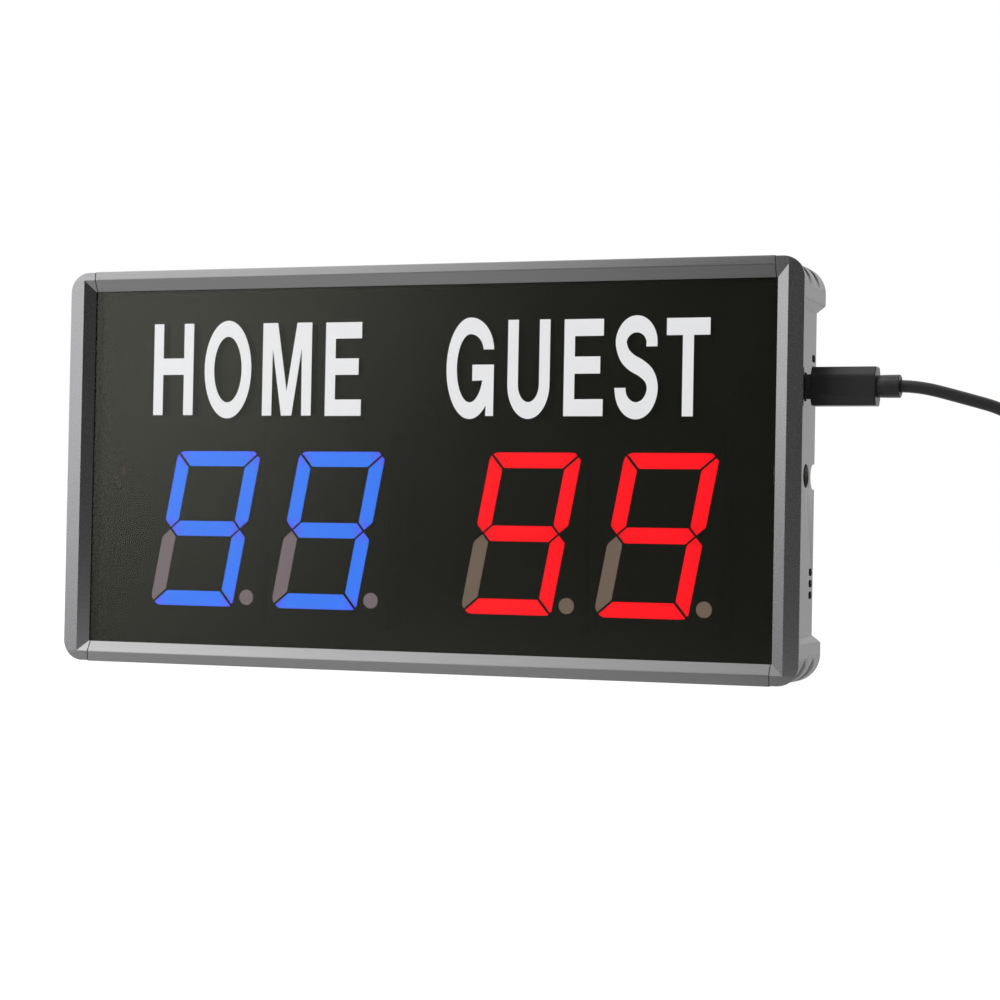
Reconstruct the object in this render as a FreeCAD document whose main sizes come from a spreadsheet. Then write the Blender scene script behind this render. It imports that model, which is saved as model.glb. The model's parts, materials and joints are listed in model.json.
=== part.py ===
import FreeCAD, Part
import math
import os

import Sketcher

# Tabletop electronic scoreboard with two pairs of seven-segment digits.
# Millimetres. X runs to the viewer's right, Y into the case, Z up.
# The origin is the middle of the case's footprint on the table.

SIZES = {
    # Case
    "overall_width": 225.6,
    "overall_height": 117.0,
    "overall_depth": 27.0,
    "overrun": 1.0,
    # Rails, top and bottom: one extruded section each, sizes taken from the outer face
    "rail_wall": 2.0,
    "top_flat": 2.5,
    "bottom_flat": 3.0,
    "top_lip": 5.9,
    "bottom_lip": 6.0,
    "lip_fall": 1.72,
    "lip_edge": 0.4,
    "web_thickness": 1.4,
    "web_reach": 4.6,
    # Window
    "lens_thickness": 2.0,
    "lens_play": 0.1,
    "sheet_edge_gap": 0.3,
    # End caps
    "seam_inset": 8.0,
    "side_lip": 7.7,
    "side_flat": 4.4,
    "cap_step": 0.2,
    "side_wall": 2.0,
    "flank_inset": 2.5,
    "bezel_edge": 1.2,
    "bezel_radius": 6.0,
    "bumper_radius": 8.0,
    "bumper_height": 11.5,
    "bumper_slope": 1.9,
    "bumper_rounding": 0.8,
    "groove_radius": 2.4,
    "groove_depth": 1.2,
    "groove_sweep": 24.0,
    "front_groove_place": 8.0,
    "rear_groove_place": 18.0,
    "tongue_length": 10.0,
    "tongue_thickness": 2.1,
    "tongue_play": 0.15,
    # Holes in the side walls, set out from a line a little below mid-height
    "side_centre_drop": 0.9,
    "vent_height": 2.1,
    "vent_length": 4.0,
    "vent_pitch": 3.2,
    "vent_start": 26.6,
    "vent_rear_margin": 1.1,
    "notch_radius": 3.55,
    "notch_depth": 4.9,
    "bracket_hole_radius": 3.3,
    "bracket_hole_from_rear": 10.6,
    "bracket_boss_wall": 1.8,
    # Threaded inserts for a tilting bracket
    "insert_length": 7.0,
    "insert_recess": 1.0,
    "insert_bore_radius": 2.0,
    # Rear panel and its screws
    "panel_thickness": 2.0,
    "panel_screw_side": 9.8,
    "panel_screw_radius": 1.5,
    "panel_screw_head_radius": 2.9,
    "panel_screw_head_height": 1.4,
    "panel_screw_tip_gap": 1.88,
    "cross_slot_width_share": 0.33,
    "cross_slot_reach_share": 1.1,
    "screw_boss_radius": 3.3,
    "boss_rail_gap": 0.8,
    "boss_board_gap": 0.2,
    "keyhole_spacing": 120.0,
    "keyhole_drop": 37.0,
    "keyhole_entry_radius": 4.2,
    "keyhole_slot_radius": 2.1,
    "keyhole_travel": 8.0,
    # Digit modules; the shares split the width that the four of them leave free
    "digit_gap": 0.2,
    "digit_edge_margin": 1.0,
    "digit_end_margin": 5.25,
    "digit_depth": 11.0,
    "digit_side_gap": 1.86,
    "digit_centre_height": 40.3,
    "left_margin_share": 0.3453,
    "middle_gap_share": 0.3563,
    "segment_span_width": 27.4,
    "segment_span_height": 46.0,
    "segment_stroke": 4.45,
    "segment_gap": 0.45,
    "segment_waist": 0.3,
    "sharp_corner_cut": 2.2,
    "blunt_corner_cut": 0.8,
    "segment_depth": 3.0,
    "point_radius": 2.35,
    "point_gap": 1.66,
    "point_down": 20.1,
    "slant_share": 0.187,
    "pin_radius": 0.3,
    "pin_pitch": 2.54,
    "pin_row_margin": 4.25,
    "pin_length": 3.4,
    "pin_hole_play": 0.15,
    # Main board, its posts and screws
    "board_thickness": 1.6,
    "board_end_gap": 1.3,
    "board_rail_gap": 1.4,
    "board_notch_play": 0.8,
    "post_radius": 2.75,
    "post_low_margin": 14.0,
    "post_high_margin": 17.0,
    "board_screw_radius": 1.2,
    "board_screw_bite_share": 0.545,
    "board_screw_head_radius": 2.3,
    "board_screw_head_height": 1.6,
    "board_screw_play": 0.2,
    # Parts on the board
    "controller_width": 7.5,
    "controller_thickness": 2.4,
    "controller_across": 24.0,
    "controller_top_margin": 21.0,
    "driver_width": 3.9,
    "driver_thickness": 1.7,
    "chip_end_margin": 0.5,
    "chip_standoff": 0.1,
    "lead_pitch": 1.27,
    "lead_width": 0.4,
    "lead_reach": 1.1,
    "buzzer_radius": 6.0,
    "buzzer_panel_gap": 0.88,
    "buzzer_port_radius": 1.0,
    "buzzer_port_depth": 2.0,
    "buzzer_side_margin": 23.0,
    "buzzer_low_margin": 24.0,
    "capacitor_radius": 3.15,
    "capacitor_height": 7.7,
    "capacitor_base": 6.6,
    "capacitor_base_height": 1.2,
    "capacitor_side_margin": 17.0,
    "receiver_width": 6.0,
    "receiver_height": 7.0,
    "receiver_thickness": 3.6,
    "receiver_dome_radius": 2.2,
    "receiver_lens_gap": 1.0,
    "receiver_digit_gap": 3.95,
    "receiver_leg_width": 0.5,
    "receiver_leg_pitch": 2.54,
    # USB socket, which fits round the plug's nose
    "port_rise": 24.5,
    "port_play": 0.25,
    "nose_play": 0.05,
    "nose_tip_gap": 1.25,
    "socket_wall": 0.25,
    "socket_set_back": 0.4,
    "blade_width": 3.9,
    "blade_thickness": 0.6,
    "blade_short_of_mouth": 1.0,
    # Plug in the socket
    "nose_width": 6.85,
    "nose_thickness": 1.8,
    "nose_wall": 0.25,
    "nose_length": 6.6,
    "nose_cavity_depth": 5.0,
    "grip_stand_off": 2.2,
    "grip_length": 17.9,
    "grip_width": 10.7,
    "grip_thickness": 8.0,
    "grip_corner": 2.0,
    "grip_end_rounding": 0.7,
    "collar_length": 6.0,
    "collar_radius": 3.2,
    "collar_tip_radius": 3.0,
    # Lead
    "lead_radius": 1.7,
    "coil_gap": 0.5,
    "coil_outer_radius": 21.0,
    # Plug on the far end
    "far_collar_length": 6.0,
    "far_grip_length": 20.0,
    "far_grip_width": 15.4,
    "far_grip_thickness": 8.0,
    "far_shell_width": 12.0,
    "far_shell_thickness": 4.5,
    "far_shell_length": 12.0,
    "far_shell_wall": 0.3,
    "far_blade_width": 11.1,
    "far_blade_thickness": 1.9,
    "far_blade_short_of_mouth": 0.8,
}

# Counts
VENTS_PER_ROW = 3
PINS_EITHER_SIDE = 2
CONTROLLER_LEADS_PER_SIDE = 14
DRIVER_LEADS_PER_SIDE = 8
COIL_TURNS_PER_LAYER = 2
COIL_LAYERS = 4

# A quarter turn, in degrees
QUARTER_TURN = 90

# How much of the shorter run beside a corner of the lead's route its arc takes up
ARC_SETBACK_SHARE = 0.45

# The lead's route, from the plug's collar down to the coil's lowest layer
LEAD_ROUTE = [
    (136.4, 0.62, 82.1),
    (141.6, 0.62, 82.1),
    (153.2, 0.7, 79.0),
    (165.2, 0.9, 75.6),
    (171.8, 1.5, 70.2),
    (175.6, 2.9, 62.4),
    (177.2, 6.4, 45.0),
    (178.0, 10.2, 26.6),
    (180.0, 12.0, 16.6),
    (184.2, 12.8, 8.9),
    (190.6, 13.0, 3.7),
    (198.8, 13.0, 1.7),
    (206.6, 13.0, 1.7),
]

# From the coil's highest layer round to the far plug, which lies on the coil
TAIL_ROUTE = [
    (213.4, 13.0, 13.4),
    (218.6, 13.0, 13.4),
    (226.0, 11.0, 14.4),
    (232.2, 6.0, 16.0),
    (235.4, -1.2, 17.6),
    (235.4, -8.8, 18.7),
    (232.4, -15.6, 19.2),
    (226.8, -20.8, 19.2),
    (219.6, -23.0, 19.2),
    (212.4, -23.0, 19.2),
]


class Size:
    """A size as a number, with the sheet formula that it comes from."""

    def __init__(self, number, text):
        self.number = number
        self.text = text

    def join(self, sign, other, number):
        """The size that a sum, difference, product or quotient gives."""
        right = other.text if isinstance(other, Size) else str(other)
        return Size(number, f"({self.text} {sign} {right})")

    def __add__(self, other):
        return self.join("+", other, self.number + number_of(other))

    def __sub__(self, other):
        return self.join("-", other, self.number - number_of(other))

    def __mul__(self, other):
        return self.join("*", other, self.number * number_of(other))

    def __truediv__(self, other):
        return self.join("/", other, self.number / number_of(other))

    def __neg__(self):
        return Size(-self.number, f"(0 - {self.text})")

    def __radd__(self, other):
        return Size(other, str(other)) + self

    def __rsub__(self, other):
        return Size(other, str(other)) - self

    def __rmul__(self, other):
        return Size(other, str(other)) * self


def number_of(size):
    """The plain number of a size, or the number itself."""
    return size.number if isinstance(size, Size) else size


class SizeSheet:
    """The sheet's sizes, one attribute for each alias."""


doc = FreeCAD.newDocument("scoreboard")
sheet = doc.addObject("Spreadsheet::Sheet", "Sizes")
s = SizeSheet()
for row, (alias, value) in enumerate(SIZES.items(), 1):
    sheet.set(f"A{row}", alias.replace("_", " "))
    sheet.set(f"B{row}", str(value))
    sheet.setAlias(f"B{row}", alias)
    setattr(s, alias, Size(value, f"Sizes.{alias}"))
doc.recompute()

NO_TURN = FreeCAD.Rotation()
ALONG = {
    "x": FreeCAD.Rotation(FreeCAD.Vector(0, 1, 0), QUARTER_TURN),
    "y": FreeCAD.Rotation(FreeCAD.Vector(1, 0, 0), -QUARTER_TURN),
}
UPRIGHT = FreeCAD.Rotation(FreeCAD.Vector(1, 0, 0), QUARTER_TURN)

nodes = []


def deep(distance):
    """The Y of a place that lies a distance behind the case's front plane."""
    return distance - s.overall_depth / 2


def place(obj, corner, turn=NO_TURN):
    """Puts an object's origin at a corner given in sizes, turned about it."""
    obj.Placement = FreeCAD.Placement(FreeCAD.Vector(), turn)
    for letter, size in zip("xyz", corner):
        if isinstance(size, Size):
            obj.setExpression(f"Placement.Base.{letter}", size.text)
    return obj


def bind(obj, **sizes):
    """Binds an object's properties to sizes."""
    for path, size in sizes.items():
        obj.setExpression(path, size.text)
    return obj


def block(name, low, high):
    """A block between two opposite corners."""
    obj = doc.addObject("Part::Box", name)
    length, width, height = (b - a for a, b in zip(low, high))
    bind(obj, Length=length, Width=width, Height=height)
    return place(obj, low)


def rod(name, radius, start, length, along):
    """A round rod or hole tool from a start point along one axis."""
    obj = doc.addObject("Part::Cylinder", name)
    bind(obj, Radius=radius, Height=length)
    return place(obj, start, ALONG[along])


def cone(name, near_radius, far_radius, start, length, along):
    """A taper from a start point along one axis."""
    obj = doc.addObject("Part::Cone", name)
    bind(obj, Radius1=near_radius, Radius2=far_radius, Height=length)
    return place(obj, start, ALONG[along])


def joined(name, parts):
    """One solid from parts that overlap or touch."""
    obj = doc.addObject("Part::MultiFuse", name)
    obj.Shapes = parts
    obj.Refine = True
    return obj


def group(name, parts):
    """Separate solids kept together as one object."""
    obj = doc.addObject("Part::Compound", name)
    obj.Links = parts
    return obj


def cut(name, base, tools):
    """A base with tools cut out of it."""
    obj = doc.addObject("Part::Cut", name)
    obj.Base = base
    obj.Tool = tools[0] if len(tools) == 1 else group(f"{name}_tools", tools)
    obj.Refine = True
    return obj


def node(obj, label):
    """Keeps an object as one sub-part, named for its file."""
    obj.Label = label
    nodes.append(obj)
    return obj


def hold(sketch, held):
    """Fixes outline points to the sheet; held has a line, a kind and a size for each."""
    rules = []
    formulas = []
    first = sketch.ConstraintCount
    for line, kind, size in held:
        if isinstance(size, Size):
            ends = (-1, 1, line, 1) if size.number >= 0 else (line, 1, -1, 1)
            size = size if size.number >= 0 else -size
            formulas.append((first + len(rules), size.text))
            rules.append(Sketcher.Constraint(kind, *ends, size.number))
        else:
            rules.append(Sketcher.Constraint("PointOnObject", line, 1, -2 if kind == "DistanceX" else -1))
    sketch.addConstraint(rules)
    for index, text in formulas:
        sketch.setExpression(f"Constraints[{index}]", text)


def draw(sketch, points):
    """A closed outline of straight lines through points given in sizes."""
    first = sketch.GeometryCount
    corners = [FreeCAD.Vector(number_of(across), number_of(up), 0) for across, up in points]
    sketch.addGeometry([Part.LineSegment(a, b) for a, b in zip(corners, corners[1:] + corners[:1])], False)
    count = len(points)
    sketch.addConstraint(
        [Sketcher.Constraint("Coincident", first + i, 2, first + (i + 1) % count, 1) for i in range(count)]
    )
    held = []
    for i, (across, up) in enumerate(points):
        held += [(first + i, "DistanceX", across), (first + i, "DistanceY", up)]
    hold(sketch, held)


def ring(sketch, across, up, radius):
    """A circle whose centre and radius follow the sheet."""
    line = sketch.GeometryCount
    centre = FreeCAD.Vector(number_of(across), number_of(up), 0)
    sketch.addGeometry(Part.Circle(centre, FreeCAD.Vector(0, 0, 1), number_of(radius)), False)
    for kind, size in (("DistanceX", across), ("DistanceY", up)):
        ends = (-1, 1, line, 3) if size.number >= 0 else (line, 3, -1, 1)
        size = size if size.number >= 0 else -size
        index = sketch.addConstraint(Sketcher.Constraint(kind, *ends, size.number))
        sketch.setExpression(f"Constraints[{index}]", size.text)
    index = sketch.addConstraint(Sketcher.Constraint("Radius", line, number_of(radius)))
    sketch.setExpression(f"Constraints[{index}]", radius.text)


def rectangle(low, high):
    """The four corners of a rectangle, ready for draw."""
    return [(low[0], low[1]), (high[0], low[1]), (high[0], high[1]), (low[0], high[1])]


def plane_of(body, role):
    """One of a body's own origin planes."""
    return next(f for f in body.Origin.OriginFeatures if f.Role == role)


def sketch_in(body, name, role):
    """A sketch on one of a body's origin planes."""
    sketch = body.newObject("Sketcher::SketchObject", name)
    sketch.AttachmentSupport = [(plane_of(body, role), "")]
    sketch.MapMode = "FlatFace"
    return sketch


def pad(body, name, sketch, length, side="One side", reverse=False):
    """A padded sketch."""
    feature = body.newObject("PartDesign::Pad", name)
    feature.Profile = sketch
    bind(feature, Length=length)
    feature.SideType = side
    feature.Reversed = reverse
    return feature


def prism(name, outlines, circles, start, length):
    """Outlines on an upright plane, extruded into the case from a depth."""
    sketch = doc.addObject("Sketcher::SketchObject", f"{name}_outline")
    place(sketch, (0, start, 0), UPRIGHT)
    for points in outlines:
        draw(sketch, points)
    for across, up, radius in circles:
        ring(sketch, across, up, radius)
    obj = doc.addObject("Part::Extrusion", name)
    obj.Base = sketch
    obj.DirMode = "Custom"
    obj.Dir = FreeCAD.Vector(0, 1, 0)
    obj.Solid = True
    return bind(obj, LengthFwd=length)


def soften(name, base, radius, across, heights):
    """A copy of base with its edges along the depth rounded, at one place across and some heights."""
    doc.recompute()
    near = number_of(radius) / 2
    chosen = []
    for i, edge in enumerate(base.Shape.Edges, 1):
        middle = edge.BoundBox.Center
        level = min(abs(middle.z - number_of(up)) for up in heights)
        if abs(middle.x - number_of(across)) < near and level < near:
            chosen.append((i, number_of(radius), number_of(radius)))
    obj = doc.addObject("Part::Fillet", name)
    obj.Base = base
    obj.Edges = chosen
    return obj


# Depths and heights that several pieces share
half_width = s.overall_width / 2
lens_front = s.lip_fall + s.lip_edge
lens_back = lens_front + s.lens_thickness
panel_front = s.overall_depth - s.panel_thickness
digit_front = lens_back + s.digit_gap
board_front = digit_front + s.digit_depth
board_back = board_front + s.board_thickness
seam = half_width - s.seam_inset
inner_side = half_width - s.flank_inset - s.side_wall
flank = half_width - s.flank_inset
side_centre = s.overall_height / 2 - s.side_centre_drop
bracket_depth = s.overall_depth - s.bracket_hole_from_rear
boss_front = board_back + s.boss_board_gap
panel_screw_tip = boss_front + s.panel_screw_tip_gap
port_height = side_centre + s.port_rise
socket_width = s.nose_width + 2 * (s.nose_play + s.socket_wall)
socket_thickness = s.nose_thickness + 2 * (s.nose_play + s.socket_wall)
socket_depth = board_front - socket_thickness / 2

# The digits' outer sizes and where they stand
digit_width = s.segment_span_width + s.segment_span_height * s.slant_share + 2 * s.digit_edge_margin
digit_height = s.segment_span_height + 2 * s.digit_end_margin
digit_pitch = digit_width + s.digit_side_gap
free_width = 2 * (inner_side - digit_width - digit_pitch)
home_tens = free_width * s.left_margin_share + digit_width / 2 - inner_side
home_units = home_tens + digit_pitch
guest_tens = home_units + digit_width + free_width * s.middle_gap_share
guest_units = guest_tens + digit_pitch
digit_centres = [home_tens, home_units, guest_tens, guest_units]

# The board's edges, and the columns and rows of its posts
board_side = inner_side - s.board_end_gap
board_low = s.web_reach + s.board_rail_gap
board_high = s.overall_height - board_low
post_columns = [
    (home_tens - digit_width / 2 - board_side) / 2,
    (home_units + guest_tens) / 2,
    (guest_units + digit_width / 2 + board_side) / 2,
]
post_rows = [board_low + s.post_low_margin, board_high - s.post_high_margin]


def rail_outline(sign, base, flat, lip):
    """A rail's section; sign is 1 where the rail's inside is above its outer face."""

    def at(depth, inward):
        return deep(depth), base + inward if sign > 0 else base - inward

    web_front = lens_back + s.lens_play
    web_back = web_front + s.web_thickness
    ledge_front = panel_front - s.web_thickness
    sketch_points = [
        (0, 0),
        (s.overall_depth, 0),
        (s.overall_depth, s.rail_wall),
        (panel_front, s.rail_wall),
        (panel_front, s.web_reach),
        (ledge_front, s.web_reach),
        (ledge_front, s.rail_wall),
        (web_back, s.rail_wall),
        (web_back, s.web_reach),
        (web_front, s.web_reach),
        (web_front, s.rail_wall),
        (lens_front, s.rail_wall),
        (lens_front, lip),
        (s.lip_fall, lip),
        (0, flat),
    ]
    return [at(depth, inward) for depth, inward in sketch_points]


def rail(label, sign, base, flat, lip):
    """An extruded rail between the two end caps."""
    body = doc.addObject("PartDesign::Body", label)
    section = sketch_in(body, f"{label}_section", "YZ_Plane")
    draw(section, rail_outline(sign, base, flat, lip))
    body.Tip = pad(body, f"{label}_run", section, 2 * seam, side="Symmetric")
    return node(body, label)


rail("top_rail", -1, s.overall_height, s.top_flat, s.top_lip)
rail("bottom_rail", 1, 0, s.bottom_flat, s.bottom_lip)

# Smoked window, held in the front grooves of the rails
sheet_low = s.rail_wall + s.sheet_edge_gap
sheet_high = s.overall_height - sheet_low
sheet_side = inner_side - s.sheet_edge_gap
lens = doc.addObject("PartDesign::Body", "front_lens")
lens_sketch = sketch_in(lens, "lens_outline", "XZ_Plane")
bind(lens_sketch, **{"AttachmentOffset.Base.z": -deep(lens_front)})
draw(lens_sketch, rectangle((-sheet_side, sheet_low), (sheet_side, sheet_high)))
lens.Tip = pad(lens, "lens_sheet", lens_sketch, s.lens_thickness, reverse=True)
node(lens, "front_lens")

# Rear panel, flush with the back of the case
panel_screw_low = s.web_reach + s.screw_boss_radius + s.boss_rail_gap
panel_screws = [
    (side * (half_width - s.panel_screw_side), up)
    for side in (-1, 1)
    for up in (panel_screw_low, s.overall_height - panel_screw_low)
]
keyhole_height = s.overall_height - s.keyhole_drop


def keyhole_outline(side):
    """The straight-sided slot above a keyhole's round entry."""
    across = side * s.keyhole_spacing / 2
    return rectangle(
        (across - s.keyhole_slot_radius, keyhole_height),
        (across + s.keyhole_slot_radius, keyhole_height + s.keyhole_travel),
    )


panel_sheet = block(
    "panel_sheet",
    (-sheet_side, deep(panel_front), sheet_low),
    (sheet_side, deep(s.overall_depth), sheet_high),
)
panel_cuts = []
for side in (-1, 1):
    across = side * s.keyhole_spacing / 2
    start = deep(panel_front - s.overrun)
    through = s.panel_thickness + 2 * s.overrun
    top = keyhole_height + s.keyhole_travel
    panel_cuts += [
        rod("keyhole_entry", s.keyhole_entry_radius, (across, start, keyhole_height), through, "y"),
        rod("keyhole_top", s.keyhole_slot_radius, (across, start, top), through, "y"),
        prism("keyhole_slot", [keyhole_outline(side)], [], start, through),
    ]
head_start = s.overall_depth - s.panel_screw_head_height
for across, up in panel_screws:
    panel_cuts += [
        rod("panel_screw_hole", s.panel_screw_radius, (across, deep(panel_front - s.overrun), up),
            s.panel_thickness + s.overrun, "y"),
        cone("panel_screw_sink", s.panel_screw_radius, s.panel_screw_head_radius,
             (across, deep(head_start), up), s.panel_screw_head_height, "y"),
    ]
node(cut("panel_cut", panel_sheet, panel_cuts), "rear_panel")


def panel_screw(across, up):
    """A countersunk screw with a cross slot, its head flush with the panel."""
    shank = rod("panel_screw_shank", s.panel_screw_radius, (across, deep(panel_screw_tip), up),
                head_start - panel_screw_tip, "y")
    head = cone("panel_screw_head", s.panel_screw_radius, s.panel_screw_head_radius,
                (across, deep(head_start), up), s.panel_screw_head_height, "y")
    half_slot = s.panel_screw_radius * s.cross_slot_width_share / 2
    reach = s.panel_screw_radius * s.cross_slot_reach_share
    slots = [
        block("cross_slot", (across - wide, deep(s.overall_depth - s.panel_screw_head_height / 2), up - tall),
              (across + wide, deep(s.overall_depth + s.overrun), up + tall))
        for wide, tall in ((half_slot, reach), (reach, half_slot))
    ]
    return cut("panel_screw", joined("panel_screw_blank", [shank, head]), slots)


node(group("rear_screw_set", [panel_screw(*spot) for spot in panel_screws]), "rear_screws")


def rounded_slab(name, front, back, radius):
    """The right cap's plate between two depths, with its two outer corners rounded."""
    low = s.cap_step
    high = s.overall_height - s.cap_step
    inner = seam - radius
    parts = [
        block(f"{name}_core", (inner - radius, deep(front), low), (half_width - radius, deep(back), high)),
        block(f"{name}_side", (inner - radius, deep(front), low + radius),
              (half_width, deep(back), high - radius)),
    ]
    for up in (low + radius, high - radius):
        parts.append(rod(f"{name}_corner", radius, (half_width - radius, deep(front), up), back - front, "y"))
    beyond_seam = block(f"{name}_beyond_seam", (inner - 2 * radius, deep(front), low), (seam, deep(back), high))
    return cut(name, joined(f"{name}_whole", parts), [beyond_seam])


def corner_groove(name, depth, top):
    """A rounded groove round one bumper corner, fading out on both flats."""
    inset = s.bumper_radius + s.groove_radius - s.groove_depth - s.groove_sweep
    shift = inset * math.sqrt(0.5)
    centre_across = half_width - s.bumper_radius + shift
    corner_up = s.cap_step + s.bumper_radius - shift
    centre_up = s.overall_height - corner_up if top else corner_up
    obj = doc.addObject("Part::Torus", name)
    bind(obj, Radius1=s.groove_sweep, Radius2=s.groove_radius)
    obj.Angle3 = QUARTER_TURN
    turn = UPRIGHT if top else ALONG["y"]
    return place(obj, (centre_across, deep(depth), centre_up), turn)


def flank_recess():
    """The shallow recess in the side wall between the two corner bumpers."""
    low = s.bumper_height
    high = s.overall_height - s.bumper_height
    points = [
        (flank, low + s.bumper_slope),
        (half_width, low),
        (half_width + s.overrun, low),
        (half_width + s.overrun, high),
        (half_width, high),
        (flank, high - s.bumper_slope),
    ]
    return prism("flank_recess", [points], [], deep(s.bezel_edge), s.overall_depth)


def window_funnel():
    """The picture-frame slope round the window, cut with mitred corners."""
    funnel = doc.addObject("Part::Wedge", "window_slope")
    bind(
        funnel,
        Xmin=s.side_flat - half_width,
        Xmax=half_width - s.side_flat,
        Zmin=s.bottom_flat,
        Zmax=s.overall_height - s.top_flat,
        X2min=s.side_lip - half_width,
        X2max=half_width - s.side_lip,
        Z2min=s.bottom_lip,
        Z2max=s.overall_height - s.top_lip,
        Ymin=deep(0),
        Ymax=deep(s.lip_fall),
    )
    window = block(
        "window_opening",
        (s.side_lip - half_width, deep(s.lip_fall), s.bottom_lip),
        (half_width - s.side_lip, deep(lens_back), s.overall_height - s.top_lip),
    )
    return [funnel, window]


def vents():
    """Two rows of short slots with round ends near the rear edge of the side wall."""
    slots = []
    inside = inner_side - s.overrun
    outside = flank + s.overrun
    round_radius = s.vent_height / 2
    rear_round = deep(s.overall_depth - s.vent_rear_margin - round_radius)
    front_round = rear_round - s.vent_length + s.vent_height
    for i in range(VENTS_PER_ROW):
        for sign in (-1, 1):
            middle = side_centre + sign * (s.vent_start + i * s.vent_pitch)
            slots.append(
                block("vent", (inside, front_round, middle - round_radius),
                      (outside, rear_round, middle + round_radius))
            )
            for end in (front_round, rear_round):
                slots.append(rod("vent_end", round_radius, (inside, end, middle), outside - inside, "x"))
    return slots


def end_cap_blank():
    """The right end cap before its socket opening is cut."""
    shell = joined(
        "cap_shell",
        [
            rounded_slab("cap_bezel", 0, s.bezel_edge, s.bezel_radius),
            rounded_slab("cap_bumper", s.bezel_edge, s.overall_depth, s.bumper_radius),
        ],
    )
    shaped = cut("cap_shaped", shell, [flank_recess()])
    lips = (s.bumper_height, s.overall_height - s.bumper_height)
    rounded = soften("cap_rounded", shaped, s.bumper_rounding, half_width, lips)
    grooves = [
        corner_groove("corner_groove", depth, top)
        for depth in (s.front_groove_place, s.rear_groove_place)
        for top in (False, True)
    ]
    cavity = block(
        "cap_cavity",
        (seam - s.overrun, deep(lens_front), s.rail_wall),
        (inner_side, deep(s.overall_depth + s.overrun), s.overall_height - s.rail_wall),
    )
    hollow = cut("cap_hollow", rounded, [cavity] + window_funnel() + grooves)
    inside = []
    for top in (False, True):
        start = s.rail_wall + s.tongue_play
        low = s.overall_height - start - s.tongue_thickness if top else start
        channel_front = lens_back + s.lens_play + s.web_thickness + s.tongue_play
        channel_back = panel_front - s.web_thickness - s.tongue_play
        inside.append(
            block("cap_tongue", (seam - s.tongue_length, deep(channel_front), low),
                  (inner_side + s.side_wall / 2, deep(channel_back), low + s.tongue_thickness))
        )
    right_screws = [(across, up) for across, up in panel_screws if across.number > 0]
    for across, up in right_screws:
        inside.append(
            rod("screw_boss", s.screw_boss_radius, (across, deep(boss_front), up), panel_front - boss_front, "y")
        )
        inside.append(
            block("screw_boss_rib", (across, deep(boss_front), up - s.panel_screw_radius),
                  (inner_side + s.side_wall / 2, deep(panel_front), up + s.panel_screw_radius))
        )
    boss_radius = s.bracket_hole_radius + s.bracket_boss_wall
    boss_start = flank - s.insert_recess - s.insert_length
    inside.append(
        rod("bracket_boss", boss_radius, (boss_start, deep(bracket_depth), side_centre),
            flank - s.side_wall / 2 - boss_start, "x")
    )
    filled = joined("cap_filled", [hollow] + inside)
    notch_centre = s.overall_depth - s.notch_depth + s.notch_radius
    holes = vents()
    holes.append(
        rod("notch_round", s.notch_radius, (inner_side - s.overrun, deep(notch_centre), side_centre),
            s.side_wall + 2 * s.overrun, "x")
    )
    holes.append(
        block(
            "notch_mouth",
            (inner_side - s.overrun, deep(notch_centre), side_centre - s.notch_radius),
            (flank + s.overrun, deep(s.overall_depth + s.overrun), side_centre + s.notch_radius),
        )
    )
    holes.append(
        rod("bracket_hole", s.bracket_hole_radius,
            (boss_start - s.overrun, deep(bracket_depth), side_centre),
            s.insert_length + s.insert_recess + 2 * s.overrun, "x")
    )
    for across, up in right_screws:
        holes.append(
            rod("boss_bore", s.panel_screw_radius, (across, deep(panel_screw_tip), up),
                s.overall_depth - panel_screw_tip, "y")
        )
    return cut("cap_blank", filled, holes)


cap_blank = end_cap_blank()
left_cap = doc.addObject("Part::Mirroring", "left_cap_mirror")
left_cap.Source = cap_blank
left_cap.Normal = FreeCAD.Vector(1, 0, 0)
node(left_cap, "left_end_cap")

port_opening = block(
    "port_opening",
    (inner_side - s.overrun, deep(socket_depth) - socket_thickness / 2 - s.port_play,
     port_height - socket_width / 2 - s.port_play),
    (flank + s.overrun, deep(socket_depth) + socket_thickness / 2 + s.port_play,
     port_height + socket_width / 2 + s.port_play),
)
node(cut("right_cap_cut", cap_blank, [port_opening]), "right_end_cap")


def bracket_insert(side):
    """A threaded insert set back in the side wall's boss."""
    start = flank - s.insert_recess - s.insert_length
    start = start if side > 0 else -(flank - s.insert_recess)
    spot = (start, deep(bracket_depth), side_centre)
    bore_spot = (start - s.overrun, deep(bracket_depth), side_centre)
    outer = rod("insert_outer", s.bracket_hole_radius, spot, s.insert_length, "x")
    bore = rod("insert_bore", s.insert_bore_radius, bore_spot, s.insert_length + 2 * s.overrun, "x")
    return cut("insert", outer, [bore])


node(bracket_insert(-1), "left_bracket_insert")
node(bracket_insert(1), "right_bracket_insert")

# Seven-segment digits
half_span = s.segment_span_width / 2
half_rise = s.segment_span_height / 2
stroke = s.segment_stroke
sharp = s.sharp_corner_cut
blunt = s.blunt_corner_cut
gap = s.segment_gap
waist = s.segment_waist


def opposite(points):
    """An outline turned half round the digit's centre."""
    return [(-across, -up) for across, up in points]


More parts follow.
